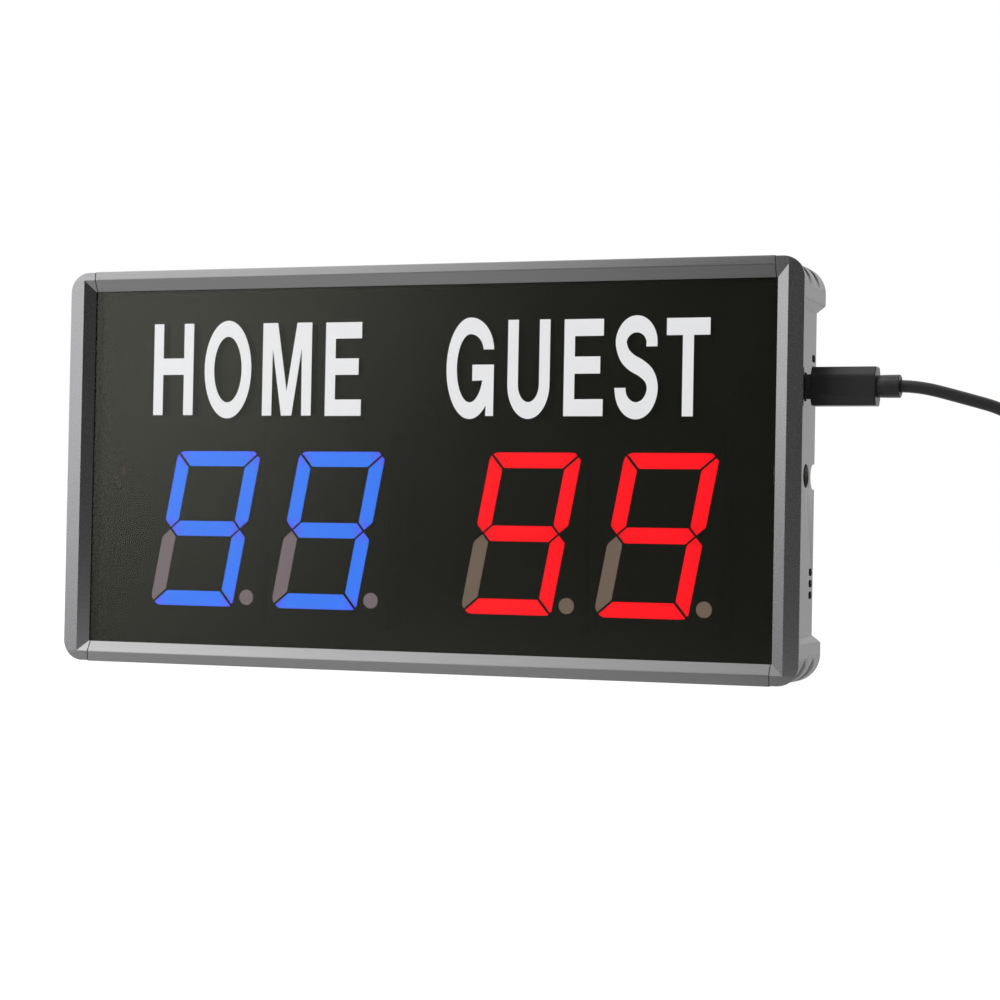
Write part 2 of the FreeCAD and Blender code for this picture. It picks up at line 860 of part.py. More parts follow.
SEGMENT_A = [
    (blunt - half_span, half_rise),
    (half_span - sharp, half_rise),
    (half_span - (sharp + gap) / 2, half_rise - (sharp - gap) / 2),
    (half_span - stroke - gap, half_rise - stroke),
    (stroke + gap - half_span, half_rise - stroke),
    ((blunt + gap) / 2 - half_span, half_rise - (blunt - gap) / 2),
]
SEGMENT_B = [
    (half_span - (sharp - gap) / 2, half_rise - (sharp + gap) / 2),
    (half_span, half_rise - sharp),
    (half_span, waist + stroke / 2),
    (half_span - stroke / 2, waist),
    (half_span - stroke, waist + stroke / 2),
    (half_span - stroke, half_rise - stroke - gap),
]
SEGMENT_F = [
    ((blunt - gap) / 2 - half_span, half_rise - (blunt + gap) / 2),
    (-half_span, half_rise - blunt),
    (-half_span, waist + stroke / 2),
    (stroke / 2 - half_span, waist),
    (stroke - half_span, waist + stroke / 2),
    (stroke - half_span, half_rise - stroke - gap),
]
SEGMENT_G = [
    (half_span - stroke - gap, stroke / 2),
    (stroke + gap - half_span, stroke / 2),
    (stroke / 2 + gap - half_span, 0),
    (stroke + gap - half_span, -stroke / 2),
    (half_span - stroke - gap, -stroke / 2),
    (half_span - stroke / 2 - gap, 0),
]
LIT = [SEGMENT_A, SEGMENT_B, opposite(SEGMENT_F), opposite(SEGMENT_A), SEGMENT_F, SEGMENT_G]
DARK = [opposite(SEGMENT_B)]


def slanted(points, centre):
    """An outline of the digit, leaning to the right and moved to its centre."""
    return [(centre + across + up * s.slant_share, s.digit_centre_height + up) for across, up in points]


def digit(index, centre):
    """One digit: its black housing, lit segments, dark segments and pins."""
    name = f"digit_{index}"
    lit = prism(f"{name}_lit_bars", [slanted(points, centre) for points in LIT], [],
                deep(digit_front), s.segment_depth)
    point_across = half_span - s.point_down * s.slant_share + s.point_gap + s.point_radius
    point = (centre + point_across, s.digit_centre_height - s.point_down, s.point_radius)
    dark = prism(f"{name}_dark_bars", [slanted(points, centre) for points in DARK], [point],
                 deep(digit_front), s.segment_depth)
    case = block(
        f"{name}_case",
        (centre - digit_width / 2, deep(digit_front), s.digit_centre_height - digit_height / 2),
        (centre + digit_width / 2, deep(board_front), s.digit_centre_height + digit_height / 2),
    )
    node(cut(f"{name}_cut", case, [lit, dark]), f"{name}_housing")
    node(lit, f"{name}_lit_segments")
    node(dark, f"{name}_dark_segments")
    pins = [
        rod("pin", s.pin_radius, (across, deep(board_front), up), s.pin_length, "y")
        for across, up in pin_spots(centre)
    ]
    node(group(f"{name}_pin_set", pins), f"{name}_pins")


def pin_spots(centre):
    """Two rows of pins on the back of a digit."""
    row_rise = digit_height / 2 - s.pin_row_margin
    return [
        (centre + place_in_row * s.pin_pitch, s.digit_centre_height + sign * row_rise)
        for sign in (-1, 1)
        for place_in_row in range(-PINS_EITHER_SIDE, PINS_EITHER_SIDE + 1)
    ]


for index, centre in enumerate(digit_centres, 1):
    digit(index, centre)

# Main board
post_spots = [(across, up) for across in post_columns for up in post_rows]
board_sheet = block(
    "board_sheet",
    (-board_side, deep(board_front), board_low),
    (board_side, deep(board_back), board_high),
)
notch_radius = s.bracket_hole_radius + s.bracket_boss_wall + s.board_notch_play
notch_start = flank - s.insert_recess - s.insert_length - s.board_notch_play
board_cuts = [
    block(
        "board_notch",
        (low, deep(board_front - s.overrun), side_centre - notch_radius),
        (high, deep(board_back + s.overrun), side_centre + notch_radius),
    )
    for low, high in ((notch_start, board_side + s.overrun), (-board_side - s.overrun, -notch_start))
]
for centre in digit_centres:
    for across, up in pin_spots(centre):
        board_cuts.append(
            rod("pin_hole", s.pin_radius + s.pin_hole_play, (across, deep(board_front - s.overrun), up),
                s.board_thickness + 2 * s.overrun, "y")
        )
for across, up in post_spots:
    board_cuts.append(
        rod("post_hole", s.board_screw_radius + s.board_screw_play,
            (across, deep(board_front - s.overrun), up), s.board_thickness + 2 * s.overrun, "y")
    )
node(cut("board_cut", board_sheet, board_cuts), "main_board")


post_length = panel_front - board_back
screw_bite = post_length * s.board_screw_bite_share


def post(across, up):
    """A round post between the board and the rear panel."""
    outer = rod("post_outer", s.post_radius, (across, deep(board_back), up), post_length, "y")
    bore = rod("post_bore", s.board_screw_radius, (across, deep(board_back), up), screw_bite, "y")
    return cut("post", outer, [bore])


def board_screw(across, up):
    """A pan-head screw through the board into its post."""
    head = rod("board_screw_head", s.board_screw_head_radius,
               (across, deep(board_front - s.board_screw_head_height), up), s.board_screw_head_height, "y")
    shank = rod("board_screw_shank", s.board_screw_radius, (across, deep(board_front), up),
                s.board_thickness + screw_bite, "y")
    return joined("board_screw", [head, shank])


node(group("post_set", [post(*spot) for spot in post_spots]), "board_posts")
node(group("board_screw_set", [board_screw(*spot) for spot in post_spots]), "board_screws")


def chip(name, across, up, width, thickness, lead_count):
    """A flat chip on the board's back with a row of leads along both long sides."""
    length = (lead_count - 1) * s.lead_pitch + s.lead_width + 2 * s.chip_end_margin
    low = board_back + s.chip_standoff
    parts = [
        block(f"{name}_body", (across - length / 2, deep(low), up - width / 2),
              (across + length / 2, deep(low + thickness), up + width / 2))
    ]
    for i in range(lead_count):
        middle = across + (i - (lead_count - 1) / 2) * s.lead_pitch
        for sign in (-1, 1):
            inner = up + sign * (width / 2 - s.lead_width)
            outer = up + sign * (width / 2 + s.lead_reach)
            low_up, high_up = (inner, outer) if sign > 0 else (outer, inner)
            parts.append(
                block(f"{name}_lead", (middle - s.lead_width / 2, deep(board_back), low_up),
                      (middle + s.lead_width / 2, deep(low + s.lead_width), high_up))
            )
    return joined(name, parts)


node(
    chip("controller", -s.controller_across, board_high - s.controller_top_margin,
         s.controller_width, s.controller_thickness, CONTROLLER_LEADS_PER_SIDE),
    "controller_chip",
)
drivers = [
    chip(f"driver_{index}", centre, s.digit_centre_height, s.driver_width,
         s.driver_thickness, DRIVER_LEADS_PER_SIDE)
    for index, centre in enumerate(digit_centres, 1)
]
node(group("driver_set", drivers), "driver_chips")

buzzer_across = board_side - s.buzzer_side_margin
buzzer_up = board_low + s.buzzer_low_margin
buzzer_back = panel_front - s.buzzer_panel_gap
buzzer_case = rod("buzzer_case", s.buzzer_radius, (buzzer_across, deep(board_back), buzzer_up),
                  buzzer_back - board_back, "y")
buzzer_port = rod(
    "buzzer_port", s.buzzer_port_radius,
    (buzzer_across, deep(buzzer_back - s.buzzer_port_depth), buzzer_up),
    s.buzzer_port_depth + s.overrun, "y",
)
node(cut("buzzer_cut", buzzer_case, [buzzer_port]), "buzzer")

capacitor_across = board_side - s.capacitor_side_margin
capacitor_can = rod(
    "capacitor_can", s.capacitor_radius,
    (capacitor_across, deep(board_front - s.capacitor_height), port_height), s.capacitor_height, "y",
)
capacitor_foot = block(
    "capacitor_foot",
    (capacitor_across - s.capacitor_base / 2, deep(board_front - s.capacitor_base_height),
     port_height - s.capacitor_base / 2),
    (capacitor_across + s.capacitor_base / 2, deep(board_front), port_height + s.capacitor_base / 2),
)
node(joined("capacitor_whole", [capacitor_can, capacitor_foot]), "power_capacitor")


def remote_receiver():
    """The remote-control receiver, facing forward behind the window on three legs."""
    middle = post_columns[1]
    front = lens_back + s.receiver_lens_gap + s.receiver_dome_radius
    back = front + s.receiver_thickness
    low = s.digit_centre_height + digit_height / 2 + s.receiver_digit_gap
    dome = doc.addObject("Part::Sphere", "receiver_dome")
    bind(dome, Radius=s.receiver_dome_radius)
    place(dome, (middle, deep(front), low + s.receiver_height / 2))
    parts = [
        dome,
        block("receiver_body", (middle - s.receiver_width / 2, deep(front), low),
              (middle + s.receiver_width / 2, deep(back), low + s.receiver_height)),
    ]
    for i in (-1, 0, 1):
        across = middle + i * s.receiver_leg_pitch
        parts.append(
            block("receiver_leg", (across - s.receiver_leg_width / 2, deep(back - s.receiver_leg_width), low),
                  (across + s.receiver_leg_width / 2, deep(board_front), low + s.receiver_leg_width))
        )
    return joined("receiver", parts)


node(remote_receiver(), "remote_receiver")

# USB socket on the board, its mouth just inside the side wall's opening
grip_start = flank + s.grip_stand_off
nose_tip = grip_start - s.nose_length
mouth = flank - s.socket_set_back
socket_back = nose_tip - s.nose_tip_gap - s.socket_wall


def centred_block(name, start, end, width, thickness):
    """A block along X, centred on the socket's axis."""
    return block(
        name,
        (start, deep(socket_depth) - thickness / 2, port_height - width / 2),
        (end, deep(socket_depth) + thickness / 2, port_height + width / 2),
    )


socket_inside_width = socket_width - 2 * s.socket_wall
socket_inside_thickness = socket_thickness - 2 * s.socket_wall
node(
    cut(
        "socket_cut",
        centred_block("socket_outer", socket_back, mouth, socket_width, socket_thickness),
        [centred_block("socket_inside", socket_back + s.socket_wall, mouth + s.overrun,
                       socket_inside_width, socket_inside_thickness)],
    ),
    "socket_shell",
)
node(
    centred_block("socket_contact_blade", socket_back + s.socket_wall, mouth - s.blade_short_of_mouth,
                  s.blade_width, s.blade_thickness),
    "socket_blade",
)

# Plug that slides out of the socket along X
node(
    cut(
        "nose_cut",
        centred_block("nose_outer", nose_tip, grip_start, s.nose_width, s.nose_thickness),
        [centred_block("nose_inside", nose_tip - s.overrun, nose_tip + s.nose_cavity_depth,
                       s.nose_width - 2 * s.nose_wall, s.nose_thickness - 2 * s.nose_wall)],
    ),
    "plug_nose",
)


def grip(label, start, depth, height, length, thickness, width):
    """A moulded grip along X with rounded corners and ends."""
    body = doc.addObject("PartDesign::Body", label)
    outline = sketch_in(body, f"{label}_outline", "YZ_Plane")
    bind(outline, **{"AttachmentOffset.Base.z": start})
    draw(outline, rectangle((depth - thickness / 2, height - width / 2),
                            (depth + thickness / 2, height + width / 2)))
    block_feature = pad(body, f"{label}_block", outline, length)
    doc.recompute()
    corners = body.newObject("PartDesign::Fillet", f"{label}_corners")
    long_edges = [
        f"Edge{i}" for i, edge in enumerate(block_feature.Shape.Edges, 1)
        if edge.BoundBox.XLength > edge.BoundBox.YLength + edge.BoundBox.ZLength
    ]
    corners.Base = (block_feature, long_edges)
    bind(corners, Radius=s.grip_corner)
    doc.recompute()
    ends = body.newObject("PartDesign::Fillet", f"{label}_ends")
    end_edges = [
        f"Edge{i}" for i, edge in enumerate(corners.Shape.Edges, 1)
        if edge.BoundBox.XLength < number_of(s.grip_end_rounding)
    ]
    ends.Base = (corners, end_edges)
    bind(ends, Radius=s.grip_end_rounding)
    body.Tip = ends
    return node(body, label)


grip("plug_grip", grip_start, deep(socket_depth), port_height, s.grip_length,
     s.grip_thickness, s.grip_width)
collar_start = grip_start + s.grip_length
node(
    cone("plug_collar_cone", s.collar_radius, s.collar_tip_radius,
         (collar_start, deep(socket_depth), port_height), s.collar_length, "x"),
    "plug_collar",
)

# Lead
lead_radius = s.lead_radius.number
coil_outer = s.coil_outer_radius.number
coil_pitch = 2 * lead_radius + s.coil_gap.number


def vector(point):
    """A point as a vector."""
    return FreeCAD.Vector(*point)


def rounded_path(route, name):
    """Straight runs joined by tangent arcs, each as large as its two runs allow."""
    points = [vector(point) for point in route]
    edges = []
    last = points[0]
    radii = []
    for before, corner, after in zip(points, points[1:], points[2:]):
        way_in = (corner - before).normalize()
        way_out = (after - corner).normalize()
        half_turn = way_in.getAngle(way_out) / 2
        shorter_run = min(before.distanceToPoint(corner), corner.distanceToPoint(after))
        setback = ARC_SETBACK_SHARE * shorter_run
        radius = setback / math.tan(half_turn)
        radii.append(round(radius, 1))
        to_centre = (way_out - way_in).normalize()
        arc_start = corner - way_in * setback
        arc_end = corner + way_out * setback
        arc_middle = corner + to_centre * (radius / math.cos(half_turn) - radius)
        edges.append(Part.LineSegment(last, arc_start).toShape())
        edges.append(Part.Arc(arc_start, arc_middle, arc_end).toShape())
        last = arc_end
    edges.append(Part.LineSegment(last, points[-1]).toShape())
    print(name, "arc radii", radii, "least in diameters", round(min(radii) / (2 * lead_radius), 1))
    return edges


def arc_from(start, way, end):
    """The middle of the arc that leaves start along way and reaches end."""
    chord = end - start
    along = chord / chord.Length
    off_chord = way - along * way.dot(along)
    half_angle = way.getAngle(along) / 2
    return start + chord / 2 + off_chord.normalize() * (chord.Length / 2 * math.tan(half_angle))


def biarc(start, start_way, end, end_way):
    """Two tangent arcs from one point and direction to another."""
    chord = end - start
    total = chord.dot(start_way + end_way)
    spread = 2 * (1 - start_way.dot(end_way))
    reach = (math.sqrt(total * total + spread * chord.dot(chord)) - total) / spread
    middle = (start + end + (start_way - end_way) * reach) / 2
    first = Part.Arc(start, arc_from(start, start_way, middle), middle)
    second = Part.Arc(middle, arc_from(end, -end_way, middle), end)
    return [first.toShape(), second.toShape()]


def tube(edges, name):
    """A round tube along a path, its volume compared with its section times its length."""
    path = Part.Wire(edges)
    start = edges[0].firstVertex().Point
    way = edges[0].tangentAt(edges[0].FirstParameter)
    section = Part.Wire(Part.makeCircle(lead_radius, start, way))
    solid = path.makePipeShell([section], True, False)
    ratio = solid.Volume / (math.pi * lead_radius**2 * path.Length)
    print(name, "length", round(path.Length, 1), "volume share", round(ratio, 4))
    return solid


def coil_path(start):
    """A coil in layers: each turn steps in or out steadily, and it climbs a layer where the spiral reverses."""
    straight = 2 * lead_radius
    centre = start + FreeCAD.Vector(straight, -coil_outer, 0)
    layer = 4 * COIL_TURNS_PER_LAYER
    last = layer * COIL_LAYERS
    points = []
    ways = []
    for quarter in range(last + 1):
        angle = math.pi / 2 * (1 - quarter)
        in_pair = quarter % (2 * layer)
        radius = coil_outer - coil_pitch * min(in_pair, 2 * layer - in_pair) / 4
        climbs = sum(min(max(quarter - reversal + 1, 0), 2) for reversal in range(layer, last, layer))
        inward = coil_pitch / (2 * math.pi) * (1 if in_pair < layer else -1)
        if quarter % layer == 0:
            inward = 0
        rise = 2 * coil_pitch / math.pi if quarter in range(layer, last, layer) else 0
        out = FreeCAD.Vector(math.cos(angle), math.sin(angle), 0)
        onward = FreeCAD.Vector(math.sin(angle), -math.cos(angle), 0)
        points.append(centre + out * radius + FreeCAD.Vector(0, 0, coil_pitch / 2 * climbs))
        ways.append((onward * radius - out * inward + FreeCAD.Vector(0, 0, rise)).normalize())
    edges = [Part.LineSegment(start, points[0]).toShape()]
    for i in range(last):
        edges += biarc(points[i], ways[i], points[i + 1], ways[i + 1])
    end = points[-1] + FreeCAD.Vector(straight, 0, 0)
    edges.append(Part.LineSegment(points[-1], end).toShape())
    return edges, end


def least_gap(edges, name):
    """The least gap of a wound tube to itself, measured on points along its centre line."""
    points = []
    for edge in edges:
        points += edge.discretize(Distance=lead_radius / 2)[:-1]
    apart = [0.0]
    for a, b in zip(points, points[1:]):
        apart.append(apart[-1] + a.distanceToPoint(b))
    half_inner_turn = math.pi * (coil_outer - coil_pitch * COIL_TURNS_PER_LAYER)
    least = min(
        a.distanceToPoint(b)
        for i, a in enumerate(points)
        for j, b in enumerate(points[i + 1:], i + 1)
        if apart[j] - apart[i] > half_inner_turn / 2
    )
    print(name, "least gap to itself", round(least - 2 * lead_radius, 2))


def soft_node(label, shape):
    """Keeps a lead's solid as one sub-part."""
    obj = doc.addObject("Part::Feature", label)
    obj.Shape = shape
    obj.Placement = FreeCAD.Placement()
    return node(obj, label)


soft_node("lead_free", tube(rounded_path(LEAD_ROUTE, "lead_free"), "lead_free"))
coil_edges, coil_end = coil_path(vector(LEAD_ROUTE[-1]))
least_gap(coil_edges, "lead_coil")
print("coil ends at", [round(value, 2) for value in coil_end])
soft_node("lead_coil", tube(coil_edges, "lead_coil"))
soft_node("lead_tail", tube(rounded_path(TAIL_ROUTE, "lead_tail"), "lead_tail"))

# Plug on the lead's far end, its mouth towards the case
tail_across, tail_depth, tail_height = (
    Size(value, str(value)) for value in TAIL_ROUTE[-1]
)
far_collar_start = tail_across - s.far_collar_length
node(
    cone("far_collar_cone", s.collar_radius, s.collar_tip_radius,
         (far_collar_start, tail_depth, tail_height), s.far_collar_length, "x"),
    "power_collar",
)
far_grip_start = far_collar_start - s.far_grip_length
grip("power_grip", far_grip_start, tail_depth, tail_height, s.far_grip_length,
     s.far_grip_width, s.far_grip_thickness)
mouth = far_grip_start - s.far_shell_length


def far_block(name, start, end, width, thickness, lift):
    """A block along X in the far plug's shell."""
    return block(
        name,
        (start, tail_depth - width / 2, tail_height - thickness / 2 + lift),
        (end, tail_depth + width / 2, tail_height + thickness / 2 + lift),
    )


node(
    cut(
        "power_shell_cut",
        far_block("power_shell_outer", mouth, far_grip_start, s.far_shell_width,
                  s.far_shell_thickness, 0),
        [far_block("power_shell_inside", mouth - s.overrun, far_grip_start - s.far_shell_wall,
                   s.far_shell_width - 2 * s.far_shell_wall, s.far_shell_thickness - 2 * s.far_shell_wall, 0)],
    ),
    "power_shell",
)
node(
    far_block(
        "power_contact_blade", mouth + s.far_blade_short_of_mouth, far_grip_start - s.far_shell_wall,
        s.far_blade_width, s.far_blade_thickness,
        s.far_blade_thickness / 2 + s.far_shell_wall - s.far_shell_thickness / 2,
    ),
    "power_blade",
)

doc.recompute()
os.makedirs("parts", exist_ok=True)
faulty = [obj.Name for obj in doc.Objects if {"Invalid", "Error"} & set(obj.State)]
for obj in nodes:
    if obj.Shape.isNull() or not obj.Shape.isValid() or not obj.Shape.Solids:
        faulty.append(obj.Label)
if faulty:
    raise RuntimeError(f"these objects failed: {faulty}")
for obj in nodes:
    obj.Shape.exportStep(f"parts/{obj.Label}.step")
print(len(nodes), "nodes written")
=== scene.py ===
# %% [markdown]
# # An electronic scoreboard, one piece at a time
#
# The board is a flat grey case with a smoked window. Two blue and two red digits show the score, and a thin
# power lead runs into its right side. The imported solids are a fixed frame: each cell dresses one of them,
# or puts a finer piece in its place. Everything is in metres: X to the viewer's right, Y into the case, Z
# up.

# %% Load the frame
import json
import math

import bmesh
import bpy
import numpy as np
from mathutils import Matrix, Quaternion, Vector

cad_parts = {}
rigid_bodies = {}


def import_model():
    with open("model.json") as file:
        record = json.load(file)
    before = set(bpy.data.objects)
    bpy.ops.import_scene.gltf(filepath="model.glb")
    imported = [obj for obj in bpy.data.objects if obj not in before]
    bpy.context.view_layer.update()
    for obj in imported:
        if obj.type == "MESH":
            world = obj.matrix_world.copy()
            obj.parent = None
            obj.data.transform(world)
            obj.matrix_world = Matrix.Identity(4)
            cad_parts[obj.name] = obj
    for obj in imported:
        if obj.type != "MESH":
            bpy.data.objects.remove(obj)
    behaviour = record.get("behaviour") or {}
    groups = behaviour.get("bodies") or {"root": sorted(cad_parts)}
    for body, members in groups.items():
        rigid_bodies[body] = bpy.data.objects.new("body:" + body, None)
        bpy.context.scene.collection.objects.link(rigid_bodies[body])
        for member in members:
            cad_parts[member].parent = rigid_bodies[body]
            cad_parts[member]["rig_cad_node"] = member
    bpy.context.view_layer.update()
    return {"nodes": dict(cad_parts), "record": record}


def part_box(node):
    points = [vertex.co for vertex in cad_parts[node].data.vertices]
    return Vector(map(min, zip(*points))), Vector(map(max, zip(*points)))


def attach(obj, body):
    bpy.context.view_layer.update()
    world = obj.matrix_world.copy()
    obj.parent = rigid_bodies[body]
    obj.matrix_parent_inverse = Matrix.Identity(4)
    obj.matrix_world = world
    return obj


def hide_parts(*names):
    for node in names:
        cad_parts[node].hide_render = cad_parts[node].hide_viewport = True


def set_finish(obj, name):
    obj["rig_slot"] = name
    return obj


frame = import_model()
nodes = frame["nodes"]
MM = 0.001

# %% [markdown]
# ## The camera
#
# The photograph's own camera was worked out from the edges of the case. It stands about 0.7 m away, right
# of the middle and near table height, and looks 20 degrees to the left. The lens is long, so the case is
# hardly distorted. Turning by yaw, pitch and roll in that order is the way a tripod head is set.

# %% Camera
CAMERA_SPOT = (0.256767, -0.64201, 0.036805)
CAMERA_YAW = 20.122
CAMERA_PITCH = 1.101
CAMERA_ROLL = 1.054
CAMERA_LENS = 85.53
SENSOR_WIDTH = 36.0

camera_data = bpy.data.cameras.new("camera")
camera_data.lens = CAMERA_LENS
camera_data.sensor_width = SENSOR_WIDTH
camera = bpy.data.objects.new("camera", camera_data)
bpy.context.scene.collection.objects.link(camera)
camera.matrix_world = (
    Matrix.Translation(CAMERA_SPOT)
    @ Matrix.Rotation(math.radians(CAMERA_YAW), 4, "Z")
    @ Matrix.Rotation(math.radians(90 + CAMERA_PITCH), 4, "X")
    @ Matrix.Rotation(math.radians(CAMERA_ROLL), 4, "Z")
)
bpy.context.scene.camera = camera
bpy.context.scene.view_settings.view_transform = "Standard"
print("camera looks along", [round(c, 3) for c in camera.matrix_world.to_3x3() @ Vector((0, 0, -1))])

# %% [markdown]
# ## The lead
#
# The lead is a round black cable, a little over 3 mm thick and about 1.06 m long. It leaves the plug level,
# sinks under its own weight in one long bow, and reaches the table out of view. There its spare length lies
# in a coil of four layers, and the larger plug at its other end lies on the coil.
#
# A cable has no corners, so it is one NURBS curve that only leans towards its control points. The coil's
# points are worked out as the corners of a polygon drawn round each turn: the curve touches every side, so
# it runs at the turn's true radius.

# %% The lead's route, in millimetres
LEAD_RADIUS = 1.7
HANGING_ROUTE = [
    (136.4, 0.62, 82.1),
    (141.6, 0.62, 82.1),
    (153.2, 0.7, 79.0),
    (165.2, 0.9, 75.6),
    (171.8, 1.5, 70.2),
    (175.6, 2.9, 62.4),
    (177.2, 6.4, 45.0),
    (178.0, 10.2, 26.6),
    (180.0, 12.0, 16.6),
    (184.2, 12.8, 8.9),
    (190.6, 13.0, 3.7),
    (198.8, 13.0, 1.7),
    (206.6, 13.0, 1.7),
]
TAIL_ROUTE = [
    (213.4, 13.0, 13.4),
    (218.6, 13.0, 13.4),
    (226.0, 11.0, 14.4),
    (232.2, 6.0, 16.0),
    (235.4, -1.2, 17.6),
    (235.4, -8.8, 18.7),
    (232.4, -15.6, 19.2),
    (226.8, -20.8, 19.2),
    (219.6, -23.0, 19.2),
    (212.4, -23.0, 19.2),
]
COIL_OUTER_RADIUS = 21.0
COIL_PITCH = 3.9
TURNS_PER_LAYER = 2
LAYERS = 4
POINTS_PER_TURN = 16


def coil_points(start):
    """The polygon round the coil's turns.

    At turn t the angle has fallen by t circles. The radius is the outer one less the pitch times the turns
    since the last time the line was outside, or until the next. The line climbs a pitch in the half turn
    about each turn at which it reverses.
    """
    step = 1 / POINTS_PER_TURN
    turn = np.arange(TURNS_PER_LAYER * LAYERS * POINTS_PER_TURN) * step + step / 2
    in_pair = turn % (2 * TURNS_PER_LAYER)
    from_outside = np.minimum(in_pair, 2 * TURNS_PER_LAYER - in_pair)
    radius = (COIL_OUTER_RADIUS - COIL_PITCH * from_outside) / math.cos(math.pi * step)
    angle = math.pi / 2 - 2 * math.pi * turn
    reversals = TURNS_PER_LAYER * np.arange(1, LAYERS)
    climbs = np.clip(2 * (turn[:, None] - reversals) + 0.5, 0, 1).sum(axis=1)
    centre = np.array(start) + (2 * LEAD_RADIUS, -COIL_OUTER_RADIUS, 0)
    return centre + np.stack([radius * np.cos(angle), radius * np.sin(angle), COIL_PITCH * climbs], axis=1)


route = np.vstack([HANGING_ROUTE, coil_points(HANGING_ROUTE[-1]), TAIL_ROUTE]) * MM
print("the lead's route has", len(route), "points, lowest at", round(route[:, 2].min() / MM, 2), "mm")

# %% The lead's curve
lead_curve = bpy.data.curves.new("power_lead", "CURVE")
lead_curve.dimensions = "3D"
lead_curve.bevel_depth = 1.0
lead_curve.bevel_resolution = 6
lead_curve.resolution_u = 8
lead_curve.use_fill_caps = True
lead_line = lead_curve.splines.new("NURBS")
lead_line.points.add(len(route) - 1)
lead_line.points.foreach_set("co", np.hstack([route, np.ones((len(route), 1))]).ravel())
lead_line.points.foreach_set("radius", np.full(len(route), LEAD_RADIUS * MM))
lead_line.order_u = 3
lead_line.use_endpoint_u = True
power_lead = bpy.data.objects.new("power_lead", lead_curve)
bpy.context.scene.collection.objects.link(power_lead)
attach(power_lead, "lead")
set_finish(power_lead, "lead_black")
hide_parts("lead_free", "lead_coil", "lead_tail")
print("the lead is", round(2 * LEAD_RADIUS, 1), "mm thick")

# %% [markdown]
# ## Two helpers for surfaces
#
# Most pieces here are a closed outline carried along a straight path, so two helpers do nearly all the
# work. One softens an outline's corners: nothing moulded or extruded has a truly sharp edge, and the thin
# light line along a softened edge is what makes it look real. The other joins rows of points into a skin.

# %% Helpers
def unit(vectors):
    """Each row divided by its length."""
    return vectors / np.linalg.norm(vectors, axis=1, keepdims=True)


def softened(corners, setback, steps=4):
    """An outline with soft corners.

    Near a corner P the line leaves one side at A and joins the next at B, both a setback away from P.
    Between them it is (1 - t)^2 A + 2 t (1 - t) P + t^2 B, a parabola that touches both sides.
    """
    corners = np.asarray(corners, float)
    reach = np.broadcast_to(setback, len(corners))[:, None]
    leave = corners + unit(np.roll(corners, 1, axis=0) - corners) * reach
    join = corners + unit(np.roll(corners, -1, axis=0) - corners) * reach
    t = np.linspace(0, 1, steps + 1)[None, :, None]
    bend = (1 - t) ** 2 * leave[:, None] + 2 * t * (1 - t) * corners[:, None] + t**2 * join[:, None]
    return bend.reshape(-1, 2)


def drawn_in(outline, distance):
    """An outline moved inwards: each point goes along the normal of the line through its two neighbours."""
    along = unit(np.roll(outline, -1, axis=0) - np.roll(outline, 1, axis=0))
    normal = np.stack([-along[:, 1], along[:, 0]], axis=1)
    x, y = outline.T
    turns_left = np.sum(x * np.roll(y, -1) - np.roll(x, -1) * y) > 0
    return outline + normal * (distance if turns_left else -distance)


def skin(rows, columns, first=0):
    """Quads between each row of points and the next, closed round."""
    row, column = np.meshgrid(np.arange(rows - 1), np.arange(columns), indexing="ij")
    here = first + row * columns + column
    beside = first + row * columns + (column + 1) % columns
    return np.stack([here, beside, beside + columns, here + columns], axis=-1).reshape(-1, 4).tolist()


def piece(name, points, faces, body, slot, replaced=()):
    """A mesh object from points in metres, its faces turned outwards, riding on a body."""
    mesh = bpy.data.meshes.new(name)
    mesh.from_pydata(np.asarray(points, float).tolist(), [], faces)
    shape = bmesh.new()
    shape.from_mesh(mesh)
    bmesh.ops.recalc_face_normals(shape, faces=shape.faces)
    shape.to_mesh(mesh)
    shape.free()
    obj = bpy.data.objects.new(name, mesh)
    bpy.context.scene.collection.objects.link(obj)
    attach(obj, body)
    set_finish(obj, slot)
    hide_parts(*replaced)
    print(name, "has", len(mesh.polygons), "faces")
    return obj


# %% [markdown]
# ## The rails
#
# Top and bottom are lengths of one extruded section, so each is a profile carried along X. Its front flat
# falls a little towards the outside, and its lip slopes in to the window like a picture frame. Grooves
# behind the lip take the window, and a rebate at the back takes the rear panel. The saw leaves a fine
# chamfer at both ends, and a hair's breadth stays open between the rail and the cap: together they draw the
# dark line of the joint.

# %% Rails
HALF_WIDTH = 112.8
HEIGHT = 117.0
DEPTH = 27.0
FRONT = -DEPTH / 2
SEAM = 104.8
TOP_FLAT, TOP_LIP = 2.5, 5.9
BOTTOM_FLAT, BOTTOM_LIP = 3.0, 6.0
RAIL_WALL = 2.0
WEB_REACH = 4.6
WEB_THICKNESS = 1.4
LIP_FALL = 1.72
LENS_FRONT = 2.12
LENS_BACK = 4.12
GROOVE_SLACK = 0.1
PANEL_FRONT = 25.0
CROWN = 0.22
SAW_CHAMFER = 0.18
SEAM_GAP = 0.1
SOFT_EDGE = 0.25
SOFT_LIP = 0.12
SOFT_GROOVE = 0.03


